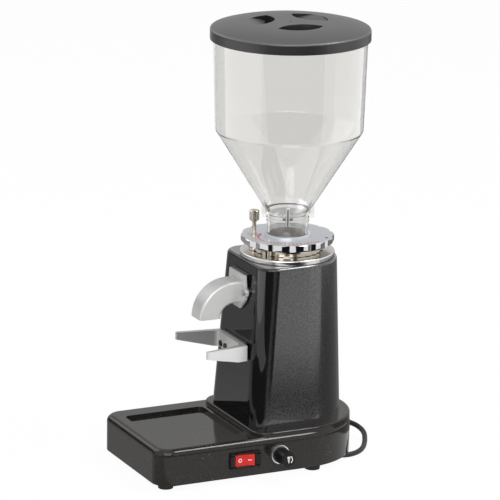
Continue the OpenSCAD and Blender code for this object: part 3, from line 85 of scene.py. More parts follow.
class Signal:
    """An output socket that works in Python sums: each sum adds one Math node to its tree."""

    def __init__(self, graph, socket):
        self.graph = graph
        self.socket = socket

    def compute(self, operation, *values):
        return self.graph.node("ShaderNodeMath", {"operation": operation}, dict(enumerate(values)))

    def __add__(self, other):
        return self.compute("ADD", self, other)

    __radd__ = __add__

    def __sub__(self, other):
        return self.compute("SUBTRACT", self, other)

    def __rsub__(self, other):
        return self.compute("SUBTRACT", other, self)

    def __mul__(self, other):
        return self.compute("MULTIPLY", self, other)

    __rmul__ = __mul__

    def above(self, limit):
        return self.compute("GREATER_THAN", self, limit)

    def below(self, limit):
        return self.compute("LESS_THAN", self, limit)

    def either(self, other):
        return self.compute("MAXIMUM", self, other)

    def smooth(self, low, high):
        """0 below low, 1 above high, with a soft step between."""
        settings = {"interpolation_type": "SMOOTHSTEP"}
        inputs = {"Value": self, "From Min": low, "From Max": high, "To Min": 0.0, "To Max": 1.0}
        return self.graph.node("ShaderNodeMapRange", settings, inputs)


class Graph:
    """A node tree in which one call adds any node."""

    def __init__(self, tree):
        self.tree = tree
        tree.nodes.clear()

    def add(self, kind, settings=None, inputs=None):
        """Adds a node of a kind, sets it up and feeds its inputs."""
        made = self.tree.nodes.new(kind)
        for key, value in (settings or {}).items():
            setattr(made, key, value)
        for key, value in (inputs or {}).items():
            self.feed(made.inputs[key], value)
        return made

    def node(self, kind, settings=None, inputs=None, output=0):
        """Adds a node and hands back one of its outputs."""
        return Signal(self, self.add(kind, settings, inputs).outputs[output])

    def feed(self, socket, value):
        if isinstance(value, Signal):
            self.tree.links.new(value.socket, socket)
        else:
            socket.default_value = value

    def blend(self, factor, first, second):
        return self.node("ShaderNodeMixShader", None, {0: factor, 1: first, 2: second})

    def seen(self):
        """1 for a ray that shows things as they look: to the camera, in a mirror or through glass."""
        kinds = ("Is Camera Ray", "Is Glossy Ray", "Is Transmission Ray")
        camera, mirror, glass = (self.node("ShaderNodeLightPath", output=kind) for kind in kinds)
        return camera.either(mirror).either(glass)


class Finish(Graph):
    """A material round one Principled shader, with short calls for the nodes that feed it.

    The plain colour, roughness and metallic hold wherever a finish feeds nothing in.
    """

    def __init__(self, name, color, roughness, metallic=0.0, **constants):
        self.material = bpy.data.materials.new(name)
        self.material.use_nodes = True
        super().__init__(self.material.node_tree)
        self.output = self.add("ShaderNodeOutputMaterial")
        self.shader = self.add("ShaderNodeBsdfPrincipled")
        self.surface(self.body())
        self.shade("Base Color", (*color, 1.0))
        self.shade("Roughness", roughness)
        self.shade("Metallic", metallic)
        for socket, value in constants.items():
            self.shade(socket.replace("_", " ").title().replace("Ior", "IOR"), value)

    def body(self):
        return Signal(self, self.shader.outputs[0])

    def surface(self, signal):
        self.feed(self.output.inputs["Surface"], signal)

    def shade(self, socket, value):
        self.feed(self.shader.inputs[socket], value)

    def place(self, stretch=(1.0, 1.0, 1.0)):
        """Position in the object's own frame in metres, stretched along each axis."""
        whole = self.node("ShaderNodeTexCoord", output="Object")
        return self.node("ShaderNodeVectorMath", {"operation": "MULTIPLY"}, {0: whole, 1: stretch})

    def axis(self, number):
        """One coordinate of the place, in metres."""
        return self.node("ShaderNodeSeparateXYZ", None, {0: self.place()}, number)

    def facing(self, number):
        """How far a face turns towards one axis of the object's own frame, from -1 to 1."""
        normal = self.node("ShaderNodeTexCoord", output="Normal")
        return self.node("ShaderNodeSeparateXYZ", None, {0: normal}, number)

    def noise(self, size, detail=3.0, stretch=(1.0, 1.0, 1.0)):
        """Noise from 0 to 1 with features of the given size in metres."""
        inputs = {"Vector": self.place(stretch), "Scale": 1 / size, "Detail": detail, "Roughness": 0.55}
        return self.node("ShaderNodeTexNoise", None, inputs, "Fac")

    def cells(self, size):
        """Distance from the middle of scattered cells, as a share of their size, given in metres."""
        inputs = {"Vector": self.place(), "Scale": 1 / size}
        return self.node("ShaderNodeTexVoronoi", None, inputs, "Distance")

    def mix(self, factor, first, second):
        """A colour between two, each given as a signal or as three numbers."""
        pair = [color if isinstance(color, Signal) else (*color, 1.0) for color in (first, second)]
        return self.node("ShaderNodeMix", {"data_type": "RGBA"}, {0: factor, 6: pair[0], 7: pair[1]}, 2)

    def bump(self, height, distance, strength):
        inputs = {"Height": height, "Distance": distance, "Strength": strength}
        self.shade("Normal", self.node("ShaderNodeBump", None, inputs))


# Finishes

def shades(color, low, high):
    """A darker and a lighter tone of one colour."""
    return tuple(part * low for part in color), tuple(min(1.0, part * high) for part in color)


def base_enamel():
    """Black stove enamel with a fine grain and a few pale specks."""
    look = Finish("base_enamel", (0.012, 0.0105, 0.0095), 0.2, specular_ior_level=0.34)
    grain = look.noise(2.2 * MM).smooth(0.3, 0.7)
    drift = look.noise(50 * MM, 2.0)
    speck = look.cells(9 * MM).below(0.045)
    tone = look.mix(drift * 0.5 + grain * 0.5, (0.007, 0.0052, 0.0038), (0.023, 0.0193, 0.0162))
    look.shade("Base Color", look.mix(speck, tone, (0.3, 0.29, 0.27)))
    look.shade("Roughness", 0.04 + 0.05 * grain)
    look.bump(grain, 0.3 * MM, 0.04)
    return look


def tower_paint():
    """Gloss black under a clear coat with fine metal flake, and a painted shade on the faces that turn to
    the front: there the base is near black and not metal, so that they reflect less.
    """
    look = Finish("tower_paint", (0.08, 0.08, 0.083), 0.2, 1.0, specular_ior_level=0.0,
                  coat_weight=1.0, coat_roughness=0.03)
    flake = look.noise(1.9 * MM, 2.0).smooth(0.34, 0.66)
    spark = look.cells(4 * MM).below(0.08)
    # Painted shade: faces that turn to the front (-Y) get a near-black base without metal; the rest keep
    # the metal flake.
    lit = look.facing(1).smooth(-0.4, -0.1)
    tone = look.mix(flake, (0.066, 0.066, 0.069), (0.118, 0.118, 0.123))
    flaked = look.mix(spark, tone, (0.22, 0.22, 0.23))
    look.shade("Base Color", look.mix(lit, (0.006, 0.006, 0.0065), flaked))
    look.shade("Metallic", lit)
    look.shade("Roughness", 0.2 + 0.04 * flake)
    look.bump(look.noise(5 * MM, 1.0), 0.3 * MM, 0.03)
    return look


def polished_ring():
    """The turned ring of the burr chamber, polished, with faint lathe lines."""
    look = Finish("polished_steel", (0.74, 0.72, 0.69), 0.12, 1.0)
    turned = look.noise(0.4 * MM, 2.0, (0.05, 0.05, 1.0))
    look.shade("Base Color", look.mix(turned, (0.62, 0.605, 0.585), (0.76, 0.745, 0.725)))
    look.shade("Roughness", 0.16 + 0.12 * turned)
    return look


def collar_plating():
    """Chrome on the lobed rim, satin on the top face, the bore and its lip, warm nickel on the shoulder."""
    bore_r = 27 * MM
    look = Finish("collar_plating", (0.6, 0.63, 0.68), 0.2, 1.0)
    across, along, height = (look.axis(number) for number in range(3))
    top = height.smooth(COLLAR_TOP - 0.5 * MM, COLLAR_TOP - 0.1 * MM)
    shoulder = height.below(RIM_UNDER + 0.3 * MM)
    bore = (across * across + along * along).below(bore_r ** 2)
    lip = height.above(COLLAR_TOP + 0.2 * MM)
    grain = look.noise(0.6 * MM)
    plate = look.mix(shoulder, (0.70, 0.70, 0.71), (0.58, 0.53, 0.46))
    faced = look.mix(top, plate, (0.665, 0.685, 0.725))
    look.shade("Base Color", look.mix(bore, faced, (0.72, 0.71, 0.69)))
    look.shade("Metallic", 1.0 - 0.75 * bore)
    look.shade("Roughness", 0.05 + 0.1 * shoulder + top * (0.2 + 0.1 * grain) + 0.2 * bore + 0.15 * lip)
    return look


def cast_silver():
    """Silver paint over an aluminium casting, with painted light: faces that look up get a painted shade,
    and faces turned to +X go from a painted shade inwards to a painted highlight further out.
    """
    look = Finish("cast_silver", (0.58, 0.58, 0.565), 0.32, 0.35)
    grain = look.noise(0.7 * MM, 4.0)
    drift = look.noise(20 * MM, 2.0)
    # Painted shade: faces that look up are mixed halfway towards dark grey.
    upward_for_painted_light = look.facing(2).smooth(0.3, 0.8)
    # Painted shade and highlight on faces turned to +X: dark at the inner side, pale further out along X.
    sideways = look.facing(0).smooth(0.5, 0.9)
    outer = look.axis(0).smooth(-30 * MM, 38 * MM)
    plain = look.mix(drift * 0.5 + grain * 0.5, (0.52, 0.52, 0.505), (0.64, 0.64, 0.625))
    side = look.mix(outer, (0.25, 0.25, 0.24), (0.78, 0.775, 0.76))
    look.shade("Base Color", look.mix(upward_for_painted_light * 0.5, look.mix(sideways, plain, side), (0.3, 0.3, 0.295)))
    look.shade("Roughness", 0.24 + 0.16 * grain)
    look.bump(grain, 0.25 * MM, 0.12)
    return look


def charcoal_lid():
    """Charcoal plastic with a fine spark texture: a dark crown, a painted highlight on the rounded edge and
    a painted shade that turns the upright skirt black.
    """
    look = Finish("charcoal_lid", (0.024, 0.023, 0.023), 0.36, specular_ior_level=0.75)
    grain = look.noise(0.8 * MM)
    drift = look.noise(30 * MM, 2.0)
    upward_for_painted_light = look.facing(2)
    crown = look.mix(drift * 0.5 + grain * 0.5, (0.029, 0.028, 0.028), (0.049, 0.048, 0.047))
    # Painted highlight: the rounded edge between the crown and the skirt is paler.
    upper = look.mix(upward_for_painted_light.smooth(0.8, 0.97), (0.085, 0.083, 0.081), crown)
    # Painted shade: faces that turn away from up, the skirt, are near black.
    look.shade("Base Color", look.mix(upward_for_painted_light.smooth(0.1, 0.5), (0.009, 0.009, 0.009), upper))
    look.shade("Roughness", 0.28 + 0.16 * grain)
    look.bump(grain, 0.2 * MM, 0.16)
    return look


def clear_plastic():
    """Clear polycarbonate. Light on its way to a shadow passes it, so that the inside isn't dark."""
    look = Finish("clear_plastic", (0.83, 0.825, 0.81), 0.02, transmission_weight=1.0, ior=1.55)
    look.shade("Roughness", 0.012 + 0.02 * look.noise(30 * MM, 2.0))
    shadow = look.node("ShaderNodeLightPath", output="Is Shadow Ray")
    clear = look.node("ShaderNodeBsdfTransparent", None, {"Color": (0.9, 0.9, 0.89, 1.0)})
    look.surface(look.blend(shadow, look.body(), clear))
    return look


def red_rocker():
    """Red plastic with a faint painted glow."""
    # Painted glow: a faint red emission.
    look = Finish("red_rocker", (0.5, 0.012, 0.01), 0.3, specular_ior_level=0.3,
                  emission_color=(0.9, 0.03, 0.02, 1.0), emission_strength=0.08)
    look.shade("Base Color", look.mix(look.noise(6 * MM, 2.0), (0.44, 0.009, 0.008), (0.56, 0.016, 0.013)))
    return look


def metal(name, color, rough=0.3, size=0.5 * MM):
    """Bare or plated metal with fine brushed lines along the height."""
    look = Finish(name, color, rough, 1.0)
    line = look.noise(size, 2.0, (1.0, 1.0, 0.06))
    look.shade("Base Color", look.mix(line, *shades(color, 0.85, 1.12)))
    look.shade("Roughness", rough - 0.08 + 0.16 * line)
    return look


def rubber(name, color, rough):
    """Matte rubber or soft plastic with a fine grain."""
    look = Finish(name, color, rough, specular_ior_level=0.25)
    grain = look.noise(0.8 * MM)
    look.shade("Base Color", look.mix(grain, *shades(color, 0.75, 1.3)))
    look.shade("Roughness", rough - 0.08 + 0.16 * grain)
    look.bump(grain, 0.2 * MM, 0.15)
    return look


def moulded(name, color, rough=0.45):
    """Smooth moulded plastic with a slow drift of tone."""
    look = Finish(name, color, rough)
    look.shade("Base Color", look.mix(look.noise(12 * MM), *shades(color, 0.9, 1.08)))
    look.shade("Roughness", rough - 0.06 + 0.12 * look.noise(0.8 * MM))
    return look


def copper_wire():
    """Enamelled copper wire, wound in level turns."""
    look = Finish("copper_wire", (0.6, 0.26, 0.11), 0.35, 0.9)
    inputs = {"Vector": look.place(), "Scale": 180.0, "Distortion": 2.0, "Detail": 2.0}
    strands = look.node("ShaderNodeTexWave", {"bands_direction": "Z"}, inputs, "Fac")
    look.shade("Base Color", look.mix(strands, (0.34, 0.12, 0.05), (0.72, 0.34, 0.15)))
    look.bump(strands, 0.6 * MM, 0.6)
    return look


BLACK = rubber("black_plastic", (0.006, 0.006, 0.006), 0.3)
LEAD = rubber("lead_sheath", (0.022, 0.022, 0.023), 0.4)
MARK_RED = moulded("mark_red", (0.55, 0.02, 0.02), 0.4)
MARK_WHITE = moulded("mark_white", (0.85, 0.85, 0.84), 0.4)

DRESS = [
    (base_enamel(), ["base_housing"]),
    (tower_paint(), ["tower_housing"]),
    (polished_ring(), ["burr_chamber"]),
    (metal("chrome_trim", (0.88, 0.88, 0.87), 0.42), ["knob_ring"]),
    (collar_plating(), ["adjusting_collar"]),
    (metal("warm_nickel", (0.60, 0.55, 0.47), 0.2, 3 * MM), ["stop_post", "lock_plunger", "lock_bush"]),
    (cast_silver(), ["chute", "portafilter_fork"]),
    (charcoal_lid(), ["hopper_lid"]),
    (clear_plastic(), ["hopper", "hopper_neck"]),
    (red_rocker(), ["rocker"]),
    (BLACK, ["switch_case", "timer_unit", "timer_knob", "knob_cap", "cooling_fan"]),
    (metal("screw_steel", (0.62, 0.62, 0.63), 0.28),
     ["plate_screws", "foot_screws", "tower_screws", "chute_screws", "motor_bolts", "bell_screws",
      "lower_burr_screws", "upper_burr_screws", "timer_nut", "hopper_gate"]),
    (metal("dark_screw", (0.06, 0.06, 0.06), 0.35), ["chamber_screws", "fork_screws"]),
    (metal("tool_steel", (0.45, 0.45, 0.46)),
     ["lower_burr", "upper_burr", "motor_shaft", "timer_shaft", "upper_bearing", "lower_bearing",
      "lock_spring"]),
    (metal("zinc_plate", (0.52, 0.53, 0.55), 0.4),
     ["base_plate", "capacitor_clip", "motor_stator", "rotor_core"]),
    (metal("motor_casting", (0.5, 0.5, 0.51), 0.45), ["upper_end_bell", "lower_end_bell"]),
    (metal("turned_brass", (0.72, 0.52, 0.22), 0.25), ["burr_carrier", "carrier_nut", "plug_pins"]),
    (copper_wire(), ["stator_windings"]),
    (rubber("foot_rubber", (0.02, 0.02, 0.02), 0.7), ["rubber_feet"]),
    (LEAD, ["strain_relief", "plug_body"]),
    (moulded("capacitor_can", (0.75, 0.75, 0.72)), ["capacitor"]),
    (moulded("board_green", (0.02, 0.12, 0.05), 0.5), ["control_board"]),
    (moulded("pale_plastic", (0.7, 0.7, 0.67), 0.5), ["terminal_block"]),
]


def dress(piece, finish):
    piece.data.materials.clear()
    piece.data.materials.append(finish.material)


def dress_frame():
    """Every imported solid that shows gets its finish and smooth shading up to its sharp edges."""
    for finish, names in DRESS:
        for name in names:
            dress(nodes[name], finish)
            nodes[name].data.shade_smooth()
            nodes[name].data.set_sharp_from_angle(angle=SHARP_ANGLE)


# Mesh helpers

def new_piece(name, build, finish):
    """A mesh object from a function that fills a bmesh, dressed and in the scene."""
    mesh = bmesh.new()
    build(mesh)
    data = bpy.data.meshes.new(name)
    mesh.to_mesh(data)
    mesh.free()
    piece = bpy.data.objects.new(name, data)
    bpy.context.scene.collection.objects.link(piece)
    dress(piece, finish)
    return piece


def rider(name, build, finish, body):
    """A new piece that rides on a body, with the finish that it is given."""
    piece = new_piece(name, build, finish)
    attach(piece, body)
    return piece


def slab(mesh, outline, place):
    """A flat closed outline, as thick as a mark along the local third axis, moved by a matrix."""
    low = [mesh.verts.new(place @ Vector((x, y, 0.0))) for x, y in outline]
    high = [mesh.verts.new(place @ Vector((x, y, MARK_T))) for x, y in outline]
    mesh.faces.new(list(reversed(low)))
    mesh.faces.new(high)
    count = len(outline)
    for here in range(count):
        after = (here + 1) % count
        mesh.faces.new((low[here], low[after], high[after], high[here]))


def bar(x_low, y_low, x_high, y_high):
    """The outline of a rectangle, from millimetres."""
    corners = [(x_low, y_low), (x_high, y_low), (x_high, y_high), (x_low, y_high)]
    return [(x * MM, y * MM) for x, y in corners]


def loop(mesh, rows, closed):
    """A skin over rows of points that each go once round a section. An open one gets end faces."""
    rows = [[mesh.verts.new(point) for point in row] for row in rows]
    count = len(rows[0])
    pairs = zip(rows, rows[1:] + rows[:1]) if closed else zip(rows, rows[1:])
    for row, following in pairs:
        for here in range(count):
            after = (here + 1) % count
            mesh.faces.new((row[here], following[here], following[after], row[after]))
    if not closed:
        mesh.faces.new(rows[0])
        mesh.faces.new(list(reversed(rows[-1])))


def ring(mesh, r_in, r_out, place, start=0.0, sweep=360.0, steps=48):
    """A flat ring, or a stretch of one in degrees, as thick as a mark. Radii are in millimetres."""
    whole = sweep >= 360
    section = [(r_in * MM, 0.0), (r_out * MM, 0.0), (r_out * MM, MARK_T), (r_in * MM, MARK_T)]
    rows = []
    for step in range(steps if whole else steps + 1):
        turn = math.radians(start + sweep * step / steps)
        rows.append([place @ Vector((r * math.cos(turn), r * math.sin(turn), z)) for r, z in section])
    loop(mesh, rows, whole)


# Camera

def camera():
    """The photograph's camera: a long lens from the right front, a little above the collar."""
    azimuth, elevation, roll = (math.radians(angle) for angle in (64.05, 15.29, 0.92))
    target = Vector((0, 0, 0.265))
    distance = 4.569
    focal_px = 3807.95
    image_px = 500
    target_px = (287.37, 241.57)
    sensor_mm = 36
    back = Vector((math.sin(azimuth) * math.cos(elevation), -math.cos(azimuth) * math.cos(elevation),
                   math.sin(elevation)))
    right = Vector((math.cos(azimuth), math.sin(azimuth), 0))
    up = back.cross(right)
    turned_right = math.cos(roll) * right + math.sin(roll) * up
    turned_up = -math.sin(roll) * right + math.cos(roll) * up
    data = bpy.data.cameras.new("photo_camera")
    data.sensor_fit = "HORIZONTAL"
    data.sensor_width = sensor_mm
    data.lens = sensor_mm * focal_px / image_px
    data.shift_x = (image_px / 2 - target_px[0]) / image_px
    data.shift_y = (target_px[1] - image_px / 2) / image_px
    data.clip_end = 50
    made = bpy.data.objects.new("photo_camera", data)
    axes = Matrix((turned_right, turned_up, back)).transposed().to_4x4()
    made.matrix_world = Matrix.Translation(target + distance * back) @ axes
    bpy.context.scene.collection.objects.link(made)
    bpy.context.scene.camera = made


# Mains lead

LEAD_R = 3.2 * MM

# Its route in millimetres, from the strain relief to the coil and from the coil to the plug
RUN = [(-34, 84.5, 18.5), (-32, 95, 17.8), (-25, 104, 15.8), (-15, 109.5, 12.8), (-3, 110, 9.4),
       (9, 105.5, 6.4), (21, 99, 4.4), (32, 91.5, 3.4), (41, 83, 3.2), (48, 72, 3.2), (50, 60, 3.2),
       (46, 48, 3.2), (37, 39.5, 3.2), (25, 36, 3.2), (8, 36, 3.2), (-12, 36, 3.2), (-32, 36, 3.2),
       (-52, 36, 3.2), (-72, 36, 3.2), (-92, 36, 3.2), (-112, 36, 3.2), (-129.6, 36, 3.2)]
TAIL = [(-142.4, 36, 10.2), (-152, 36, 10.2), (-166, 38.5, 10.2), (-179, 45.5, 10), (-189, 56, 11),
        (-196, 69, 13.5), (-198, 81, 16.5), (-198, 90, 18.2)]

# The coil: its centre and outer radius, the gap from turn to turn, the rise to the upper layer, the turns
# in a layer, the share of a turn that the rise takes, and the points in a turn
COIL_CENTRE = (-136, 81)
COIL_R = 45
COIL_PITCH = 8.2
COIL_LAYER = 7
COIL_TURNS = 2.25
COIL_CLIMB = 0.5
COIL_STEPS = 24


def coil_point(turn):
    """A point of the coil: inwards on the floor, up one layer, and outwards again on top."""
    back = max(0.0, turn - COIL_TURNS - COIL_CLIMB)
    climb = min(1.0, max(0.0, (turn - COIL_TURNS) / COIL_CLIMB))
    r = COIL_R - COIL_PITCH * (min(turn, COIL_TURNS) - back)
    angle = -math.pi / 2 - math.tau * turn
    rise = COIL_LAYER * climb * climb * (3 - 2 * climb)
    return (COIL_CENTRE[0] + r * math.cos(angle), COIL_CENTRE[1] + r * math.sin(angle), LEAD_R / MM + rise)


def coil_tie():
    """A flat band with rounded corners, round all the turns of the coil at one place."""
    inner, outer = 24.0, 50.0
    under, top = 0.4, 14.2
    corner_r = 4.0
    corner_steps = 4
    half_width = 5.0
    thickness = 0.9
    turn = math.radians(35)
    centre = Vector((*COIL_CENTRE, 0))
    along = Vector((math.cos(turn), math.sin(turn), 0))
    across = Vector((-math.sin(turn), math.cos(turn), 0))
    up = Vector((0, 0, 1))
    section = [(-half_width, corner_r - thickness), (half_width, corner_r - thickness),
               (half_width, corner_r), (-half_width, corner_r)]
    corners = [(outer - corner_r, top - corner_r), (inner + corner_r, top - corner_r),
               (inner + corner_r, under + corner_r), (outer - corner_r, under + corner_r)]

    def band(mesh):
        rows = []
        for number, (r, z) in enumerate(corners):
            middle = centre + r * along + z * up
            for step in range(corner_steps + 1):
                lean = math.radians(90 * (number + step / corner_steps))
                outward = math.cos(lean) * along + math.sin(lean) * up
                rows.append([(middle + side * across + lift * outward) * MM for side, lift in section])
        loop(mesh, rows, True)

    return rider("coil_tie", band, BLACK, "frame")


def mains_lead():
    """One curve from the strain relief along the floor, through the coil and into the plug."""
    steps = int(COIL_STEPS * (2 * COIL_TURNS + COIL_CLIMB))
    coil = [coil_point(step / COIL_STEPS) for step in range(steps + 1)]
    points = [Vector(point) * MM for point in RUN + coil + TAIL]
    data = bpy.data.curves.new("mains_lead", "CURVE")
    data.dimensions = "3D"
    data.bevel_depth = LEAD_R
    data.bevel_resolution = 5
    data.use_fill_caps = True
    data.resolution_u = 4
    spline = data.splines.new("BEZIER")
    spline.bezier_points.add(len(points) - 1)
    for knot, point in zip(spline.bezier_points, points):
        knot.co = point
        knot.handle_left_type = "AUTO"
        knot.handle_right_type = "AUTO"
    lead = bpy.data.objects.new("mains_lead", data)
    bpy.context.scene.collection.objects.link(lead)
    dress(lead, LEAD)
    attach(lead, "frame")
    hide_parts("cord_run", "cord_coil", "cord_tail")
    bpy.context.view_layer.update()
    coil_tie()


# Printed marks, with their sizes in millimetres

def switch_marks():
    """A ring and a bar printed on the two halves of the rocker, whose faces fall towards the pivot."""
    half_length = 11.8
    end_reach, pivot_reach = 6.0, 4.6
    mark_out = 6.1
    ring_in, ring_out = 1.5, 2.3
    bar_half_l, bar_half_w = 2.2, 0.45
    lean = math.atan2(end_reach - pivot_reach, half_length)
    turned = Matrix.Translation(ROCKER_PIVOT) @ Matrix.Rotation(ROCKER_REST, 4, "Z")

    def on_half(side):
        middle = Matrix.Translation(Vector(((end_reach + pivot_reach) / 2, side * mark_out, 0)) * MM)
        return turned @ middle @ Matrix.Rotation(-side * lean, 4, "Z") @ FACE_X

    def off(mesh):
        ring(mesh, ring_in, ring_out, on_half(-1))

    def on(mesh):
        slab(mesh, bar(-bar_half_l, -bar_half_w, bar_half_l, bar_half_w), on_half(1))

    rider("mark_off", off, MARK_WHITE, "switch_rocker")
    rider("mark_on", on, MARK_WHITE, "switch_rocker")


def knob_marks():
    """A white arc and a wedge of bars, short to long, on the face of the knob."""
    arc_in, arc_out, arc_half = 4.5, 5.5, 52
    bars, pitch, height = 5, 1.7, 1.0
    lowest, middle = -3.9, 0.2
    shortest, growth = 0.6, 0.35
    face = Matrix.Translation(Vector((KNOB_FACE_X, KNOB_AXIS.y, KNOB_AXIS.z))) @ FACE_X

    def scale(mesh):
        ring(mesh, arc_in, arc_out, face, -arc_half, 2 * arc_half, 20)
        for number in range(bars):
            half = shortest + growth * number
            low = lowest + pitch * number
            slab(mesh, bar(middle - half, low, middle + half, low + height), face)

    rider("knob_scale", scale, MARK_WHITE, "knob")


def collar_marks():
    """A red scale on the top of the collar: an arrow that curls in round the lock, then a row of ticks."""
    arrow_start, arrow_step, arrow_points = -62, 3, 10
    arrow_r, arrow_bend, arrow_half_w = 43.5, 0.06, 0.6
    head_half_w, head_turn, tip_in = 2.4, 6, 1.6
    curl_in, curl_out, curl_start, curl_sweep = 7.6, 9.0, 10, 215
    ticks, tick_start, tick_step = 15, -58, 5.8
    tick_r, tick_growth = 43.8, 0.3
    tick_half_w, short_half, long_half = 0.55, 1.5, 2.3
    low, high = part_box("lock_plunger")
    lock = (low + high) / 2
    flat = Matrix.Translation(Vector((0, 0, COLLAR_TOP)))
    round_lock = Matrix.Translation(Vector((lock.x, lock.y, COLLAR_TOP)))

    def spot(azimuth, r):
        turn = math.radians(azimuth)
        return (r * MM * math.cos(turn), r * MM * math.sin(turn))

    def scale(mesh):
        bend = [(arrow_start - arrow_step * step, arrow_r - arrow_bend * step ** 2)
                for step in range(arrow_points)]
        outer = [spot(azimuth, r + arrow_half_w) for azimuth, r in bend]
        inner = [spot(azimuth, r - arrow_half_w) for azimuth, r in bend]
        slab(mesh, inner + outer[::-1], flat)
        azimuth, r = bend[-1]
        head = [spot(azimuth - head_turn, r - tip_in), spot(azimuth, r - head_half_w),
                spot(azimuth, r + head_half_w)]
        slab(mesh, head, flat)
        ring(mesh, curl_in, curl_out, round_lock, curl_start, curl_sweep, 24)
        for number in range(ticks):
            turn = flat @ Matrix.Rotation(math.radians(tick_start + tick_step * number), 4, "Z")
            middle = tick_r + tick_growth * number
            half = long_half if number % 2 else short_half
            slab(mesh, bar(middle - half, -tick_half_w, middle + half, tick_half_w), turn)

    rider("collar_scale", scale, MARK_RED, "collar")


# Studio

# The ways that its papers lie, named as the camera sees them: azimuths in degrees from the X axis
NEAR = -26
NEAR_RIGHT = 26
RIGHT = 79
FAR_RIGHT = 105
FAR = 154
FAR_LEFT = -152
LEFT = -104

LAMP_AIM = Vector((0, 0, 0.26))
FLOOR_HALF = 6

# Outlines of the two dark papers before the camera, as forward and sideways distances
FRONT_OUTLINE = [(0.38, 0.29), (0.47, 0.42), (0.58, 0.56), (0.70, 0.71), (0.85, 0.87), (1.3, 1.5),
                 (2.4, 3.6), (5.0, 4.0), (5.0, -4.0), (2.4, -3.4), (1.4, -1.15), (1.08, -0.48),
                 (0.86, -0.04)]
CORNER_OUTLINE = [(0.38, 0.29), (0.86, -0.04), (0.62, -0.72), (0.2, -0.92), (-0.1, -0.9), (0.1, -0.52),
                  (0.36, -0.36), (0.38, -0.1)]


def studio_card(name, azimuth, corners, level, fade=None):
    """A paper that only polished faces see, from corners forward, sideways and up along an azimuth.

    With a fade, its brightness goes from the level to a second one between two distances forward.
    """
    turn = math.radians(azimuth)
    ahead = Vector((math.cos(turn), math.sin(turn), 0))
    aside = Vector((-math.sin(turn), math.cos(turn), 0))
    look = Finish(name, (0.0, 0.0, 0.0), 1.0, specular_ior_level=0.0, emission_strength=1.0,
                  emission_color=(level, level, level, 1.0))
    if fade:
        start, end, end_level = fade
        inputs = {0: look.place(), 1: ahead}
        forward = look.node("ShaderNodeVectorMath", {"operation": "DOT_PRODUCT"}, inputs, "Value")
        look.shade("Emission Color", look.mix(forward.smooth(start, end), (level,) * 3, (end_level,) * 3))

    def sheet(mesh):
        points = [ahead * x + aside * y + Vector((0, 0, z)) for x, y, z in corners]
        mesh.faces.new([mesh.verts.new(point) for point in points])

    made = new_piece(name, sheet, look)
    made.visible_camera = False
    made.visible_diffuse = False
    made.visible_shadow = False
    made.visible_transmission = False


def lying(outline, height):
    """The corners of a paper that lies a little above the floor."""
    return [(forward, sideways, height) for forward, sideways in outline]


def widening(near, far, half_near, half_far):
    """The outline of a paper that widens forward."""
    return [(near, -half_near), (near, half_near), (far, half_far), (far, -half_far)]


def upright(forward, half, low, high):
    """The corners of a paper that stands across the way forward."""
    return [(forward, -half, low), (forward, half, low), (forward, half, high), (forward, -half, high)]


def lamp(name, size, place, watts):
    """A soft rectangular lamp that is aimed at the middle of the grinder."""
    data = bpy.data.lights.new(name, "AREA")
    data.shape = "RECTANGLE"
    data.size, data.size_y = size
    data.energy = watts
    made = bpy.data.objects.new(name, data)
    made.location = place
    made.rotation_euler = (LAMP_AIM - Vector(place)).to_track_quat("-Z", "Y").to_euler()
    bpy.context.scene.collection.objects.link(made)


def white_floor():
    """A white floor that looks white to the camera and in mirrors, and still takes a soft shadow."""
    look = Finish("floor_white", (0.97, 0.97, 0.97), 0.9, specular_ior_level=0.0)
    look.shade("Base Color", look.mix(look.noise(0.4, 2.0), (0.965, 0.965, 0.965), (0.97, 0.97, 0.97)))
    white = look.node("ShaderNodeEmission", None, {"Color": (1.0, 1.0, 1.0, 1.0), "Strength": 1.0})
    look.surface(look.blend(look.seen() * 0.95, look.body(), white))

    def sheet(mesh):
        corners = [(-1, -1), (1, -1), (1, 1), (-1, 1)]
        mesh.faces.new([mesh.verts.new((x * FLOOR_HALF, y * FLOOR_HALF, 0)) for x, y in corners])

    new_piece("floor", sheet, look)


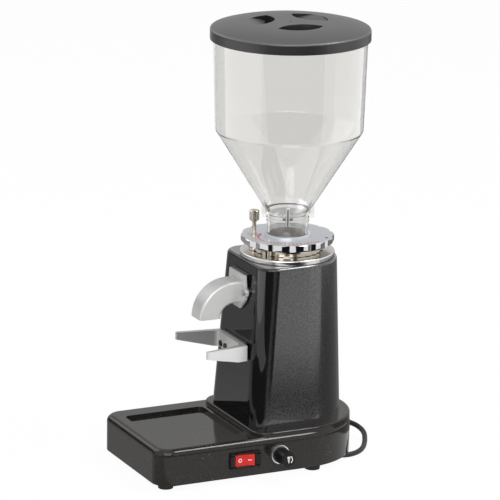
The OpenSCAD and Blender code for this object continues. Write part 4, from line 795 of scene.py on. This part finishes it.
def world():
    """White where it is seen, and a softer sky for the light that it gives."""
    made = bpy.data.worlds.new("studio")
    bpy.context.scene.world = made
    made.use_nodes = True
    sky = Graph(made.node_tree)
    soft = sky.node("ShaderNodeBackground", None, {"Color": (0.95, 0.97, 1.0, 1.0), "Strength": 0.55})
    white = sky.node("ShaderNodeBackground", None, {"Color": (1.0, 1.0, 1.0, 1.0), "Strength": 1.0})
    sky.add("ShaderNodeOutputWorld", None, {"Surface": sky.blend(sky.seen(), soft, white)})


def studio():
    """Floor, the papers that shape the reflections, and three soft lamps."""
    white_floor()
    studio_card("paper_front", NEAR, lying(FRONT_OUTLINE, 0.008), 0.01)
    studio_card("paper_corner", NEAR, lying(CORNER_OUTLINE, 0.0065), 0.02)
    studio_card("wall_front", NEAR, upright(5.0, 3.5, 0.0, 3.0), 0.01)
    studio_card("paper_left", FAR_LEFT, lying(widening(0.0, 4.0, 0.5, 1.5), 0.005), 0.5,
                fade=(0.15, 0.7, 0.35))
    studio_card("wall_left", FAR_LEFT, upright(4.0, 2.5, 0.0, 2.5), 0.06)
    studio_card("paper_side", NEAR_RIGHT, lying(widening(0.27, 0.78, 0.35, 0.35), 0.006), 0.15,
                fade=(0.33, 0.74, 1.0))
    studio_card("paper_right", FAR_RIGHT, lying(widening(0.12, 3.0, 0.3, 2.6), 0.007), 0.2)
    studio_card("bright_left", LEFT, lying(widening(1.15, 2.0, 0.83, 1.45), 0.01), 1.9)
    studio_card("bright_right", RIGHT, lying(widening(1.15, 2.0, 0.8, 1.4), 0.012), 1.6)
    studio_card("wall_rear", FAR, upright(2.5, 2.5, 0.2, 3.0), 0.68)
    lamp("key", (2.4, 2.4), (2.2, -1.3, 1.7), 47)
    lamp("fill", (1.8, 1.8), (-1.8, -1.2, 1.6), 12)
    lamp("edge", (1.2, 0.5), (0.65, 1.05, 2.3), 24)


camera()
mains_lead()
dress_frame()
switch_marks()
knob_marks()
collar_marks()
studio()
world()
bpy.context.scene.view_settings.view_transform = "Standard"
